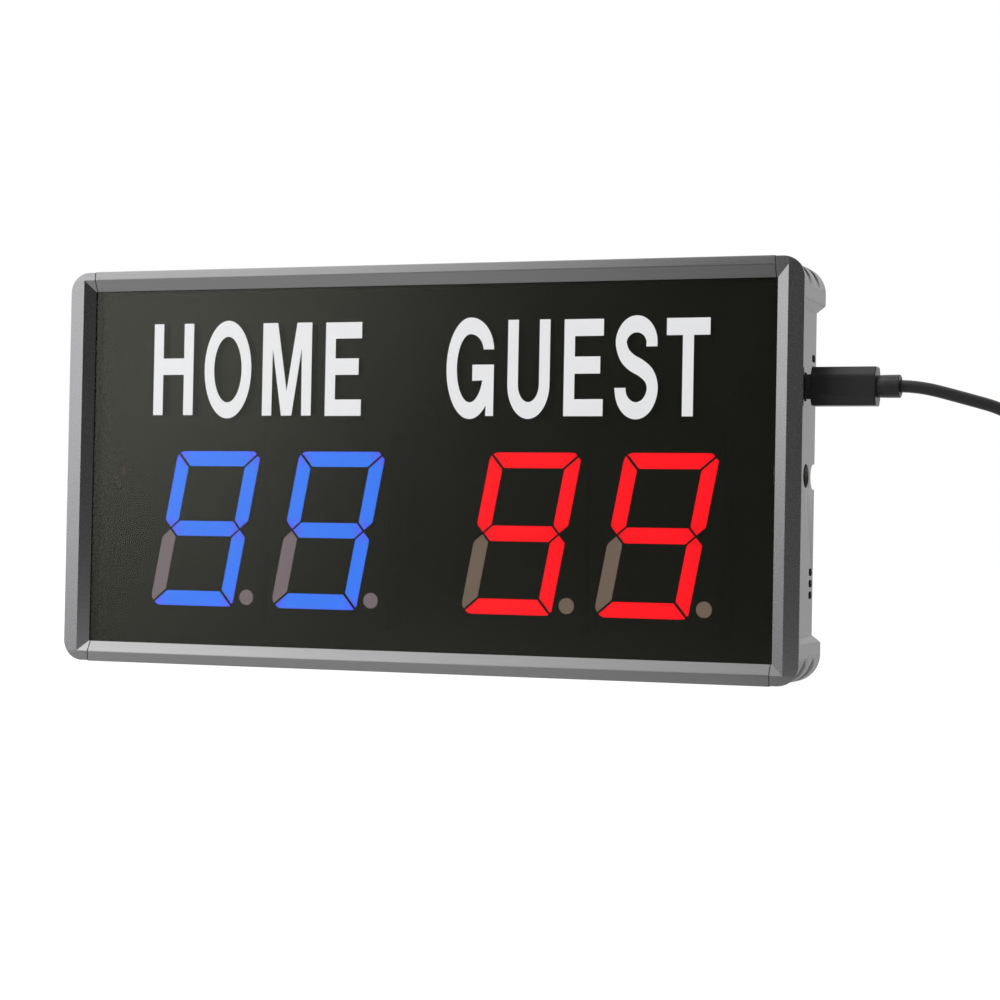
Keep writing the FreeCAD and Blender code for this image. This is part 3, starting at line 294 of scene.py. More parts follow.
def rail_profile(flat, lip):
    """The rail's section as depth and height above its outer face, with a setback for each corner."""
    web_front = LENS_BACK + GROOVE_SLACK
    web_back = web_front + WEB_THICKNESS
    ledge_front = PANEL_FRONT - WEB_THICKNESS
    rows = [
        (CROWN, 0, SOFT_EDGE),
        (DEPTH, 0, SOFT_EDGE),
        (DEPTH, RAIL_WALL, SOFT_LIP),
        (PANEL_FRONT, RAIL_WALL, SOFT_LIP),
        (PANEL_FRONT, WEB_REACH, SOFT_LIP),
        (ledge_front, WEB_REACH, SOFT_LIP),
        (ledge_front, RAIL_WALL, SOFT_LIP),
        (web_back, RAIL_WALL, SOFT_LIP),
        (web_back, WEB_REACH, SOFT_LIP),
        (web_front, WEB_REACH, SOFT_GROOVE),
        (web_front, RAIL_WALL, SOFT_GROOVE),
        (LENS_FRONT, RAIL_WALL, SOFT_GROOVE),
        (LENS_FRONT, lip, SOFT_GROOVE),
        (LIP_FALL, lip, SOFT_LIP),
        (0, flat, SOFT_EDGE),
    ]
    table = np.array(rows)
    return softened(table[:, :2], table[:, 2])


def rail_skin(name, node, base, sign, flat, lip):
    """The profile at four places along X, drawn in a little at the two ends."""
    profile = rail_profile(flat, lip)
    small = drawn_in(profile, SAW_CHAMFER)
    end = SEAM - SEAM_GAP
    places = [(-end, small), (SAW_CHAMFER - end, profile), (end - SAW_CHAMFER, profile), (end, small)]
    points = np.vstack([
        np.column_stack([np.full(len(section), across), section[:, 0] + FRONT, base + sign * section[:, 1]])
        for across, section in places
    ])
    count = len(profile)
    ends = [list(range(count)), list(range(3 * count, 4 * count))]
    piece(name, points * MM, skin(4, count) + ends, "case", "rail_metal", [node])


rail_skin("top_rail_skin", "top_rail", HEIGHT, -1, TOP_FLAT, TOP_LIP)
rail_skin("bottom_rail_skin", "bottom_rail", 0, 1, BOTTOM_FLAT, BOTTOM_LIP)

# %% [markdown]
# ## The end caps
#
# Each cap is one moulding with round corner bumpers, grooves in them, and a hollow side with vents and
# holes. The solid already has that shape, so a copy of it is cleaned and its edges are softened with a
# Bevel. The front flat falls outwards as the rails' does. Planes through its inner corners cut it first,
# like the slices of a fan, so that the fall turns from upwards to sideways round each corner. The cap's top
# is a touch lower than the rail's.

# %% End caps
CAP_FLAT = 4.4
INNER_SIDE = HALF_WIDTH - CAP_FLAT
INNER_TOP = HEIGHT - TOP_FLAT
INNER_LOW = BOTTOM_FLAT
FAN_ANGLES = range(0, 91, 18)
CAP_DROP = 0.2
OUTLINE_MARGIN = 0.05
FLATNESS = 0.001
SAME_PLANE = math.radians(0.5)
EDGE_BEVEL = 0.16
SHARP_ANGLE = math.radians(28)


def cut_front(shape, across, up, angle):
    """Cuts the front flat along a line through one point, at an angle from level."""
    front = [face for face in shape.faces if face.calc_center_median().y < (FRONT + FLATNESS) * MM]
    edges = {edge for face in front for edge in face.edges}
    verts = {vert for face in front for vert in face.verts}
    a = math.radians(angle)
    bmesh.ops.bisect_plane(
        shape, geom=[*verts, *edges, *front], dist=FLATNESS * MM,
        plane_co=(across * MM, 0, up * MM), plane_no=(-math.sin(a), 0, math.cos(a)),
    )


def cap_copy(name, node, side):
    """A merged copy of a cap, its front flat crowned and its edges softened.

    Every point of the front plane that lies outside the flat's inner outline moves back by the crown, and
    no point stays higher than the top less the drop.
    """
    shape = bmesh.new()
    shape.from_mesh(nodes[node].data)
    bmesh.ops.remove_doubles(shape, verts=shape.verts, dist=FLATNESS * MM)
    bmesh.ops.dissolve_limit(shape, angle_limit=SAME_PLANE, verts=shape.verts, edges=shape.edges)
    for angle in FAN_ANGLES:
        cut_front(shape, side * INNER_SIDE, INNER_TOP, side * angle)
        cut_front(shape, side * INNER_SIDE, INNER_LOW, -side * angle)
    mesh = bpy.data.meshes.new(name)
    shape.to_mesh(mesh)
    shape.free()
    points = np.empty(3 * len(mesh.vertices), dtype=np.float32)
    mesh.vertices.foreach_get("co", points)
    x, y, z = points.reshape(-1, 3).T / MM
    outside = np.maximum.reduce([np.abs(x) - INNER_SIDE, z - INNER_TOP, INNER_LOW - z]) > OUTLINE_MARGIN
    y += CROWN * (outside & (y < FRONT + FLATNESS))
    z = np.minimum(z, HEIGHT - CAP_DROP)
    mesh.vertices.foreach_set("co", (np.column_stack([x, y, z]) * MM).astype(np.float32).ravel())
    cap = bpy.data.objects.new(name, mesh)
    bpy.context.scene.collection.objects.link(cap)
    bevel = cap.modifiers.new("soft edges", "BEVEL")
    bevel.width = EDGE_BEVEL * MM
    bevel.segments = 2
    bevel.limit_method = "ANGLE"
    bevel.angle_limit = SHARP_ANGLE
    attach(cap, "case")
    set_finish(cap, "cap_plastic")
    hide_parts(node)
    print(name, "has", len(mesh.polygons), "faces")


cap_copy("left_cap_skin", "left_end_cap", -1)
cap_copy("right_cap_skin", "right_end_cap", 1)

# %% [markdown]
# ## The digits
#
# A digit is a black housing with seven windows of milky plastic, each with a light behind it, and a round
# point. Each window is a small convex tile with soft corners. The tile is worked out as rings: the outline
# at the back, the same outline just behind the face, then smaller and smaller copies of it that shrink to
# the middle. An attribute runs from 0 at the tile's middle to 1 at its two ends, so that the light can fade
# and turn violet there.

# %% Segment outlines, about the digit's middle
SPAN = 27.4 / 2
RISE = 46.0 / 2
STROKE = 4.45
SHARP_CUT = 2.4
BLUNT_CUT = 1.6
GAP = 0.45
WAIST = 0.3
SLANT = 0.187
SEGMENT_DEPTH = 3.0
SOFT_ROUND = 1.25
SOFT_BLUNT = 0.9
SOFT_WAIST = 0.7
SOFT_ELBOW = 0.5
SOFT_INSIDE = 0.3
SOFT_POINT = 0.15
SOFT_TIP = 0.1
SOFT_FINE_TIP = 0.08

SEGMENT_A = [
    (BLUNT_CUT - SPAN, RISE, SOFT_BLUNT),
    (SPAN - SHARP_CUT, RISE, SOFT_ROUND),
    (SPAN - (SHARP_CUT + GAP) / 2, RISE - (SHARP_CUT - GAP) / 2, SOFT_TIP),
    (SPAN - STROKE - GAP, RISE - STROKE, SOFT_INSIDE),
    (STROKE + GAP - SPAN, RISE - STROKE, SOFT_INSIDE),
    ((BLUNT_CUT + GAP) / 2 - SPAN, RISE - (BLUNT_CUT - GAP) / 2, SOFT_FINE_TIP),
]
SEGMENT_B = [
    (SPAN - (SHARP_CUT - GAP) / 2, RISE - (SHARP_CUT + GAP) / 2, SOFT_TIP),
    (SPAN, RISE - SHARP_CUT, SOFT_ROUND),
    (SPAN, WAIST + STROKE / 2, SOFT_WAIST),
    (SPAN - STROKE / 2, WAIST, SOFT_POINT),
    (SPAN - STROKE, WAIST + STROKE / 2, SOFT_ELBOW),
    (SPAN - STROKE, RISE - STROKE - GAP, SOFT_INSIDE),
]
SEGMENT_F = [
    ((BLUNT_CUT - GAP) / 2 - SPAN, RISE - (BLUNT_CUT + GAP) / 2, SOFT_FINE_TIP),
    (-SPAN, RISE - BLUNT_CUT, SOFT_BLUNT),
    (-SPAN, WAIST + STROKE / 2, SOFT_WAIST),
    (STROKE / 2 - SPAN, WAIST, SOFT_POINT),
    (STROKE - SPAN, WAIST + STROKE / 2, SOFT_ELBOW),
    (STROKE - SPAN, RISE - STROKE - GAP, SOFT_INSIDE),
]
SEGMENT_G = [
    (SPAN - STROKE - GAP, STROKE / 2, SOFT_INSIDE),
    (STROKE + GAP - SPAN, STROKE / 2, SOFT_INSIDE),
    (STROKE / 2 + GAP - SPAN, 0, SOFT_POINT),
    (STROKE + GAP - SPAN, -STROKE / 2, SOFT_INSIDE),
    (SPAN - STROKE - GAP, -STROKE / 2, SOFT_INSIDE),
    (SPAN - STROKE / 2 - GAP, 0, SOFT_POINT),
]


def upside_down(segment):
    """The same segment turned half round the digit's middle."""
    return [(-across, -up, setback) for across, up, setback in segment]


LIT = [SEGMENT_A, SEGMENT_B, upside_down(SEGMENT_F), upside_down(SEGMENT_A), SEGMENT_F, SEGMENT_G]
DARK = [upside_down(SEGMENT_B)]
POINT_RADIUS = 2.25
POINT_DOWN = 20.1
POINT_GAP = 1.76
POINT_ACROSS = SPAN - POINT_DOWN * SLANT + POINT_GAP + POINT_RADIUS
print(len(LIT) + len(DARK), "segments and a point in each digit,", round(2 * RISE, 1), "mm tall")


def leaning(segment):
    """A segment's soft outline, slanted: each point moves right by the slant times its height."""
    table = np.array(segment)
    outline = softened(table[:, :2], table[:, 2])
    return outline + np.column_stack([outline[:, 1] * SLANT, np.zeros(len(outline))])


def point_outline():
    """The decimal point, a circle."""
    angle = np.linspace(0, 2 * math.pi, 40, endpoint=False)
    circle = POINT_RADIUS * np.column_stack([np.cos(angle), np.sin(angle)])
    return circle + (POINT_ACROSS, -POINT_DOWN)


# %% Segment tiles
TILE_EDGE = 0.14
RING_SHARES = [1, 0.85, 0.7, 0.5, 0.3, 0.12]


def tile(outline, front, middle):
    """Rings of one segment and how far each point is towards the segment's ends.

    Ring 0 is the outline at the back and ring 1 the same outline just behind the face. Each ring after
    that is c + s (p - c) on the face, for each point p of the outline drawn in a little, its middle c and
    a share s that falls from 1 towards nought.
    """
    inner = drawn_in(outline, TILE_EDGE)
    centre = outline.mean(axis=0)
    rings = [outline, outline] + [centre + share * (inner - centre) for share in RING_SHARES]
    depths = [front + SEGMENT_DEPTH, front + TILE_EDGE] + [front] * len(RING_SHARES)
    points = np.vstack([
        np.column_stack([ring[:, 0] + middle[0], np.full(len(ring), depth), ring[:, 1] + middle[1]])
        for ring, depth in zip(rings, depths)
    ])
    flat = np.vstack(rings) - centre
    length = flat[np.argmax(np.linalg.norm(flat, axis=1))]
    towards_end = np.abs(flat @ length) / (length @ length)
    return points, towards_end, len(outline)


def digit_tiles(name, node, outlines, slot):
    """All tiles of one kind in one digit."""
    low, high = (np.array(corner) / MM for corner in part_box(node.rsplit("_", 2)[0] + "_housing"))
    middle = ((low[0] + high[0]) / 2, (low[2] + high[2]) / 2)
    points, shares, faces = [], [], []
    for outline in outlines:
        tile_points, towards_end, count = tile(outline, low[1], middle)
        first = sum(len(p) for p in points)
        last_ring = first + len(tile_points) - count
        faces += skin(len(tile_points) // count, count, first)
        faces += [list(range(last_ring, last_ring + count)), list(range(first, first + count))]
        points.append(tile_points)
        shares.append(towards_end)
    obj = piece(name, np.vstack(points) * MM, faces, "case", slot, [node])
    attribute = obj.data.attributes.new("towards_end", "FLOAT", "POINT")
    attribute.data.foreach_set("value", np.concatenate(shares).astype(np.float32))


for number in (1, 2, 3, 4):
    side = "blue" if number < 3 else "red"
    digit_tiles(f"digit_{number}_lit_tiles", f"digit_{number}_lit_segments",
                [leaning(segment) for segment in LIT], f"lit_{side}")
    digit_tiles(f"digit_{number}_dark_tiles", f"digit_{number}_dark_segments",
                [leaning(segment) for segment in DARK] + [point_outline()], f"unlit_{side}_side")

# %% [markdown]
# ## The words
#
# HOME and GUEST are printed on the window in thick white ink. They only say whose number stands below, so
# they are drawn here as plain block letters from a few measures: upright strokes about 3 mm wide and level
# strokes nearly 5 mm high. Straight letters are lists of corners. Round ones are parts of two ellipses, one
# inside the other. The S is a ribbon along a smooth line: the line is drawn on a field stretched across,
# where the stroke is as wide as it is high, and is then squeezed, which makes the upright parts thin.

# %% Letter outlines
BASELINE = 73.6
CAP = 27.2
STEM = 3.15
BAR = 4.75
OVERSHOOT = 0.85


def arc(centre, radii, start, end, count=40):
    """Points of an ellipse: centre plus radii times cosine and sine, for angles given in degrees."""
    angle = np.radians(np.linspace(start, end, count))
    return np.array(centre) + np.column_stack([radii[0] * np.cos(angle), radii[1] * np.sin(angle)])


def letter_h(width):
    """Two stems and a bar."""
    low, high = 12.0, 16.9
    right = width - STEM
    return np.array([
        (0, 0), (STEM, 0), (STEM, low), (right, low), (right, 0), (width, 0),
        (width, CAP), (right, CAP), (right, high), (STEM, high), (STEM, CAP), (0, CAP),
    ])


def letter_m(width):
    """Two stems and two slanting strokes that meet near the baseline."""
    middle, stem, shoulder, tip = width / 2, 3.05, 4.75, 1.65
    notch, notch_height, fork_height = 3.2, 19.8, 7.2
    return np.array([
        (0, 0), (stem, 0), (notch, notch_height), (middle - tip, 0), (middle + tip, 0),
        (width - notch, notch_height), (width - stem, 0), (width, 0), (width, CAP), (width - shoulder, CAP),
        (middle, fork_height), (shoulder, CAP), (0, CAP),
    ])


def letter_e(width):
    """A stem and three bars, the middle one a little shorter."""
    low, high, reach = 11.9, 16.7, width - 0.9
    return np.array([
        (0, 0), (width, 0), (width, BAR), (STEM, BAR), (STEM, low), (reach, low), (reach, high),
        (STEM, high), (STEM, CAP - BAR), (width, CAP - BAR), (width, CAP), (0, CAP),
    ])


def letter_t(width):
    """A bar on a stem."""
    left, right = (width - STEM) / 2, (width + STEM) / 2
    return np.array([
        (left, 0), (right, 0), (right, CAP - BAR), (width, CAP - BAR), (width, CAP), (0, CAP),
        (0, CAP - BAR), (left, CAP - BAR),
    ])


def letter_u(width):
    """Two stems that run into half an ellipse."""
    middle = width / 2
    turn = 9.0
    outside = arc((middle, turn), (middle, turn + OVERSHOOT), 180, 360)
    inside = arc((middle, turn), (middle - STEM, turn + OVERSHOOT - BAR), 360, 180)
    return np.vstack([outside, [(width, CAP), (width - STEM, CAP)], inside, [(STEM, CAP), (0, CAP)]])


def letter_g(width):
    """An open ellipse, fuller at its upper right, with a bar and a short spur at its right."""
    middle, rise, shoulder = width / 2, CAP / 2, 18.4
    top = CAP + OVERSHOOT
    spur_left, bar_left, bar_low, bar_high = width - 2.4, width - 6.5, 10.0, 14.6
    crown = arc((middle, shoulder), (middle, top - shoulder), 3, 86, 20)
    outside = arc((middle, rise), (middle, top - rise), 90, 313, 60)
    spur = [(spur_left, 0), (width, 0), (width, bar_high), (bar_left, bar_high), (bar_left, bar_low)]
    inside = arc((middle, rise), (middle - STEM, top - BAR - rise), 339, 90, 60)
    under = arc((middle, shoulder), (middle - STEM, top - BAR - shoulder), 86, 6, 20)
    return np.vstack([crown, outside, spur, inside, under])


def smooth_line(knots, steps=12):
    """A curve through the knots.

    Between two knots it is a cubic, whose slope at each of them runs along that knot's two neighbours.
    """
    knots = np.asarray(knots, float)
    padded = np.vstack([2 * knots[0] - knots[1], knots, 2 * knots[-1] - knots[-2]])
    slope = (padded[2:] - padded[:-2]) / 2
    t = np.linspace(0, 1, steps, endpoint=False)[None, :, None]
    a, b, u, v = knots[:-1, None], knots[1:, None], slope[:-1, None], slope[1:, None]
    run = (2 * t**3 - 3 * t**2 + 1) * a + (t**3 - 2 * t**2 + t) * u
    run = run + (3 * t**2 - 2 * t**3) * b + (t**3 - t**2) * v
    return np.vstack([run.reshape(-1, 2), knots[-1:]])


def letter_s(width):
    """A ribbon of even width along a smooth line, squeezed across so that its upright parts are thin.

    The line's knots lie on two ellipses, one over the other, with the slanting spine between them.
    """
    squeeze = STEM / BAR
    half = BAR / 2
    bowl = width / squeeze / 2 - half
    middle = bowl + half
    high_middle, low_middle, narrower = 20.3, 7.9, 0.3
    high = arc((middle, high_middle), (bowl - narrower, CAP + OVERSHOOT - half - high_middle), -10, 180, 9)
    low = arc((middle, low_middle), (bowl, low_middle + OVERSHOOT - half), 5, -180, 9)
    spine = [(middle - 5.2, 17.1), (middle - 2.0, 14.9), (middle + 2.2, 13.3), (middle + 5.6, 11.2)]
    line = smooth_line(np.vstack([high, spine, low]))
    along = unit(np.gradient(line, axis=0))
    along[[0, -1]] = [(0, 1), (0, 1)]
    normal = np.column_stack([-along[:, 1], along[:, 0]])
    ribbon = np.vstack([line + normal * half, (line - normal * half)[::-1]])
    return ribbon * (squeeze, 1)


print("letters", CAP, "mm high, on a line", BASELINE, "mm up")


# %% Printed words
INK_THICKNESS = 0.08
LETTERS = [
    ("h", -85.2, 13.15, 0.3, letter_h),
    ("m", -49.3, 15.75, 0.1, letter_m),
    ("e_home", -29.1, 11.4, 0.0, letter_e),
    ("g", 8.75, 14.4, -0.1, letter_g),
    ("u", 27.3, 12.6, -0.1, letter_u),
    ("e_guest", 44.1, 11.55, -0.2, letter_e),
    ("s", 59.0, 12.5, -0.25, letter_s),
    ("t", 73.9, 12.4, -0.3, letter_t),
]


def inked(outlines, left, lift):
    """Flat outlines as thin raised ink on the window: a face in front, one behind, and a rim between."""
    points, faces = [], []
    for outline in outlines:
        count = len(outline)
        first = sum(len(p) for p in points)
        for depth in (LENS_FRONT - INK_THICKNESS, LENS_FRONT):
            points.append(np.column_stack([
                outline[:, 0] + left, np.full(count, depth + FRONT), outline[:, 1] + BASELINE + lift,
            ]))
        faces += skin(2, count, first)
        faces += [list(range(first, first + count)), list(range(first + count, first + 2 * count))]
    return np.vstack(points) * MM, faces


for name, left, width, lift, outline_of in LETTERS:
    piece(f"letter_{name}", *inked([outline_of(width)], left, lift), "case", "blade_white")

# %% The letter O, a ring
O_LEFT, O_WIDTH, O_LIFT = -68.3, 15.3, 0.15
O_POINTS = 72
o_centre = (O_LEFT + O_WIDTH / 2, BASELINE + CAP / 2 + O_LIFT)
o_rings = []
for depth, trims in ((LENS_FRONT - INK_THICKNESS, (1, 0)), (LENS_FRONT, (0, 1))):
    for trim in trims:
        radii = (O_WIDTH / 2 - trim * STEM, CAP / 2 + OVERSHOOT - trim * BAR)
        ring = arc(o_centre, radii, 0, 360, O_POINTS + 1)[:-1]
        o_rings.append(np.column_stack([ring[:, 0], np.full(len(ring), depth + FRONT), ring[:, 1]]))
o_faces = [[corner % (len(o_rings) * O_POINTS) for corner in face] for face in skin(5, O_POINTS)]
piece("letter_o", np.vstack(o_rings) * MM, o_faces, "case", "blade_white")

# %% [markdown]
# ## The plug's grip and collar
#
# The grip is moulded plastic with broad slanted faces above and below its flat side, so its section is a
# rectangle with its corners planed off. It is carried along X and drawn in at both ends. The collar is
# turned: a profile of radius against length goes once round the lead.

# %% Grip
low, high = (np.array(corner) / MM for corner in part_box("plug_grip"))
grip_middle = (low + high) / 2
HALF_THICK, HALF_WIDE = (high - low)[1] / 2, (high - low)[2] / 2
PLANED_DEEP, PLANED_HIGH = 1.5, 2.5
GRIP_SETBACK = 0.5
GRIP_ROUNDING = 0.3
grip_section = softened([
    (HALF_THICK, PLANED_HIGH - HALF_WIDE), (HALF_THICK, HALF_WIDE - PLANED_HIGH),
    (HALF_THICK - PLANED_DEEP, HALF_WIDE), (PLANED_DEEP - HALF_THICK, HALF_WIDE),
    (-HALF_THICK, HALF_WIDE - PLANED_HIGH), (-HALF_THICK, PLANED_HIGH - HALF_WIDE),
    (PLANED_DEEP - HALF_THICK, -HALF_WIDE), (HALF_THICK - PLANED_DEEP, -HALF_WIDE),
], GRIP_SETBACK)
quarter = np.linspace(0, math.pi / 2, 6)
end_steps = [(GRIP_ROUNDING * (1 - math.sin(a)), GRIP_ROUNDING * (1 - math.cos(a))) for a in quarter]
stations = sorted(
    [(low[0] + cut, inset) for inset, cut in end_steps]
    + [(high[0] - cut, inset) for inset, cut in end_steps]
)
grip_points = []
for across, inset in stations:
    section = drawn_in(grip_section, inset)
    grip_points.append(np.column_stack([
        np.full(len(section), across), section[:, 0] + grip_middle[1], section[:, 1] + grip_middle[2],
    ]))
count = len(grip_section)
grip_faces = skin(len(stations), count)
grip_faces += [list(range(count)), list(range((len(stations) - 1) * count, len(stations) * count))]
piece("plug_grip_skin", np.vstack(grip_points) * MM, grip_faces, "lead", "lead_black", ["plug_grip"])

# %% Collar
low, high = (np.array(corner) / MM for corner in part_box("plug_collar"))
collar_middle = (low + high) / 2
COLLAR_PROFILE = [
    (0, 3.05), (2.5, 3.15), (5.95, 3.18), (6.2, 3.1), (6.3, 2.9), (6.3, 2.35), (6.1, 2.2), (6.1, 1.6),
]


def turned(profile, start, middle, name, body, slot, replaced):
    """A profile of length and radius turned round X: y = r cos a and z = r sin a for each angle a."""
    sides = 48
    angle = np.linspace(0, 2 * math.pi, sides, endpoint=False)
    table = np.array(profile)
    across = np.repeat(start + table[:, 0], sides)
    radius = np.repeat(table[:, 1], sides)
    around = np.tile(angle, len(table))
    deep = middle[1] + radius * np.cos(around)
    up = middle[2] + radius * np.sin(around)
    points = np.column_stack([across, deep, up])
    faces = skin(len(table), sides)
    faces += [list(range(sides)), list(range((len(table) - 1) * sides, len(table) * sides))]
    piece(name, points * MM, faces, body, slot, replaced)


turned(COLLAR_PROFILE, low[0], collar_middle, "plug_collar_skin", "lead", "lead_black", ["plug_collar"])

# %% [markdown]

# %% [markdown]
# ## Shared effects
#
# Paint, plastic and metal are never one flat value. Two node groups give the small changes that all the
# finishes share: a fine grain that is the same in all directions, and a drawn grain that is stretched along
# X as on an extrusion. Each gives a mask for colour and roughness and a height for a Bump node.

# %% Node groups
def group_with(name, inputs, outputs):
    """An empty shader node group with named sockets."""
    tree = bpy.data.node_groups.new(name, "ShaderNodeTree")
    for label, kind, default in inputs:
        socket = tree.interface.new_socket(name=label, in_out="INPUT", socket_type=kind)
        if default is not None:
            socket.default_value = default
    for label, kind in outputs:
        tree.interface.new_socket(name=label, in_out="OUTPUT", socket_type=kind)
    return tree, tree.nodes.new("NodeGroupInput"), tree.nodes.new("NodeGroupOutput")


def math_node(tree, operation, second=None):
    """A Math node, with a number in its second input where one is given."""
    node = tree.nodes.new("ShaderNodeMath")
    node.operation = operation
    if second is not None:
        node.inputs[1].default_value = second
    return node


def eased_range(tree, low, high, start=0.0, end=1.0):
    """A Map Range node that goes softly from start to end while its value goes from low to high."""
    node = tree.nodes.new("ShaderNodeMapRange")
    node.interpolation_type = "SMOOTHSTEP"
    for label, value in (("From Min", low), ("From Max", high), ("To Min", start), ("To Max", end)):
        node.inputs[label].default_value = value
    return node


def grain_group(name, stretch, detail):
    """Noise on stretched coordinates: its value is the mask, and its value times Depth the height."""
    tree, start, end = group_with(
        name,
        [("Vector", "NodeSocketVector", None), ("Scale", "NodeSocketFloat", 1000.0),
         ("Depth", "NodeSocketFloat", 1.0)],
        [("Mask", "NodeSocketFloat"), ("Height", "NodeSocketFloat")],
    )
    stretched = tree.nodes.new("ShaderNodeVectorMath")
    stretched.operation = "MULTIPLY"
    stretched.inputs[1].default_value = stretch
    noise = tree.nodes.new("ShaderNodeTexNoise")
    noise.inputs["Detail"].default_value = detail
    height = math_node(tree, "MULTIPLY")
    tree.links.new(start.outputs["Vector"], stretched.inputs[0])
    tree.links.new(stretched.outputs[0], noise.inputs["Vector"])
    tree.links.new(start.outputs["Scale"], noise.inputs["Scale"])
    tree.links.new(noise.outputs["Fac"], height.inputs[0])
    tree.links.new(start.outputs["Depth"], height.inputs[1])
    tree.links.new(noise.outputs["Fac"], end.inputs["Mask"])
    tree.links.new(height.outputs[0], end.inputs["Height"])
    return tree


FINE_GRAIN = grain_group("fine_grain", (1, 1, 1), 3.0)
DRAWN_GRAIN = grain_group("drawn_grain", (0.02, 1, 1), 2.0)
print("groups", FINE_GRAIN.name, DRAWN_GRAIN.name)


# %% Finishes
def finish(name, colour, roughness, metallic=0.0, vary=0.12, rough_vary=0.06, grain=FINE_GRAIN, scale=900.0,
           bump=0.1, depth=0.00002, sockets=()):
    """A Principled finish whose colour, roughness and height change a little with a grain.

    The colour runs between colour times (1 - vary) and colour times (1 + vary) with the mask, and the
    roughness by rough_vary either way.
    """
    material = bpy.data.materials.new(name)
    material.use_nodes = True
    tree = material.node_tree
    shader = tree.nodes["Principled BSDF"]
    shader.inputs["Metallic"].default_value = metallic
    for label, value in sockets:
        shader.inputs[label].default_value = value
    coordinates = tree.nodes.new("ShaderNodeTexCoord")
    effect = tree.nodes.new("ShaderNodeGroup")
    effect.node_tree = grain
    effect.inputs["Scale"].default_value = scale
    tint = tree.nodes.new("ShaderNodeMix")
    tint.data_type = "RGBA"
    tint.inputs[6].default_value = [c * (1 - vary) for c in colour] + [1]
    tint.inputs[7].default_value = [c * (1 + vary) for c in colour] + [1]
    rough = tree.nodes.new("ShaderNodeMapRange")
    rough.inputs["To Min"].default_value = roughness - rough_vary
    rough.inputs["To Max"].default_value = roughness + rough_vary
    relief = tree.nodes.new("ShaderNodeBump")
    relief.inputs["Strength"].default_value = bump
    relief.inputs["Distance"].default_value = depth
    tree.links.new(coordinates.outputs["Object"], effect.inputs["Vector"])
    tree.links.new(effect.outputs["Mask"], tint.inputs[0])
    tree.links.new(effect.outputs["Mask"], rough.inputs["Value"])
    tree.links.new(effect.outputs["Height"], relief.inputs["Height"])
    tree.links.new(tint.outputs[2], shader.inputs["Base Color"])
    tree.links.new(rough.outputs[0], shader.inputs["Roughness"])
    tree.links.new(relief.outputs[0], shader.inputs["Normal"])
    return material


# %% [markdown]
# ## The finishes
#
# The case is painted a satin metallic grey, on the metal rails and the plastic caps alike, so its flat
# faces take the colour of whatever they reflect. The window is smoked plastic, half see-through. The inside
# is mostly black.

# %% Case finishes
FINISHES = {
    "rail_metal": finish("satin_grey_rail", (0.262, 0.26, 0.261), 0.31, metallic=0.9, vary=0.05,
                         grain=DRAWN_GRAIN, scale=700, bump=0.03),
    "cap_plastic": finish("satin_grey_cap", (0.25, 0.25, 0.256), 0.27, metallic=0.9, vary=0.03,
                          rough_vary=0.02, scale=900, bump=0.0),
    "panel_plastic": finish("grained_black_panel", (0.03, 0.03, 0.032), 0.55, vary=0.25,
                            scale=1100, bump=0.35),
    "screw_steel": finish("zinc_screw", (0.45, 0.45, 0.47), 0.3, metallic=1.0, scale=1500, bump=0.1),
    "insert_metal": finish("turned_brass", (0.5, 0.36, 0.14), 0.3, metallic=1.0, scale=1800, bump=0.1),
    "board": finish("black_solder_mask", (0.006, 0.007, 0.006), 0.6, scale=500, bump=0.05,
                    sockets=[("Specular IOR Level", 0.2)]),
    "chip_black": finish("moulded_black_chip", (0.008, 0.008, 0.008), 0.8, scale=1600, bump=0.05,
                         sockets=[("Specular IOR Level", 0.15)]),
    "bare_tin": finish("bare_tin", (0.3, 0.28, 0.27), 0.32, metallic=1.0, scale=1200, bump=0.1),
    "digit_black": finish("digit_housing", (0.005, 0.005, 0.004), 0.7, scale=1200, bump=0.03,
                          sockets=[("Specular IOR Level", 0.15)]),
    "lead_black": finish("lead_sheath", (0.027, 0.026, 0.0255), 0.31, vary=0.15, scale=1500, bump=0.12),
    "blade_white": finish("white_ink", (0.94, 0.945, 0.955), 0.5, vary=0.015, scale=1300, bump=0.06),
    "window": finish("smoked_window", (0.004, 0.0045, 0.0015), 0.24, vary=0.1, rough_vary=0.02,
                     scale=60, bump=0.0,
                     sockets=[("Alpha", 0.5), ("IOR", 1.6), ("Specular Tint", (0.98, 1.0, 0.86, 1))]),
}
print(len(FINISHES), "finishes")

# %% [markdown]
# ## Light in the segments
#
# A lit segment gives out its own light, strongest in the middle where the lamp is and a little violet at
# the ends of a blue one. The attribute made with the tiles drives a Map Range, and that mixes the two
# colours. An unlit segment is the same milky plastic with no lamp behind it. Its faint glow is painted
# light: a weak emission stands in for the stray light from its lit neighbours.

# %% Segment finishes
LIGHT_EVEN_TO = 0.62


def segment_finish(name, colour, middle_light, end_light, strength, roughness=0.4):
    """A milky plastic whose light runs from one colour in the middle to another at the ends."""
    material = finish(name, colour, roughness, vary=0.08, rough_vary=0.04, scale=700, bump=0.05)
    tree = material.node_tree
    shader = tree.nodes["Principled BSDF"]
    place = tree.nodes.new("ShaderNodeAttribute")
    place.attribute_name = "towards_end"
    share = eased_range(tree, LIGHT_EVEN_TO, 1.0)
    light = tree.nodes.new("ShaderNodeMix")
    light.data_type = "RGBA"
    light.inputs[6].default_value = [*middle_light, 1]
    light.inputs[7].default_value = [*end_light, 1]
    tree.links.new(place.outputs["Fac"], share.inputs["Value"])
    tree.links.new(share.outputs[0], light.inputs[0])
    tree.links.new(light.outputs[2], shader.inputs["Emission Color"])
    shader.inputs["Emission Strength"].default_value = strength
    return material


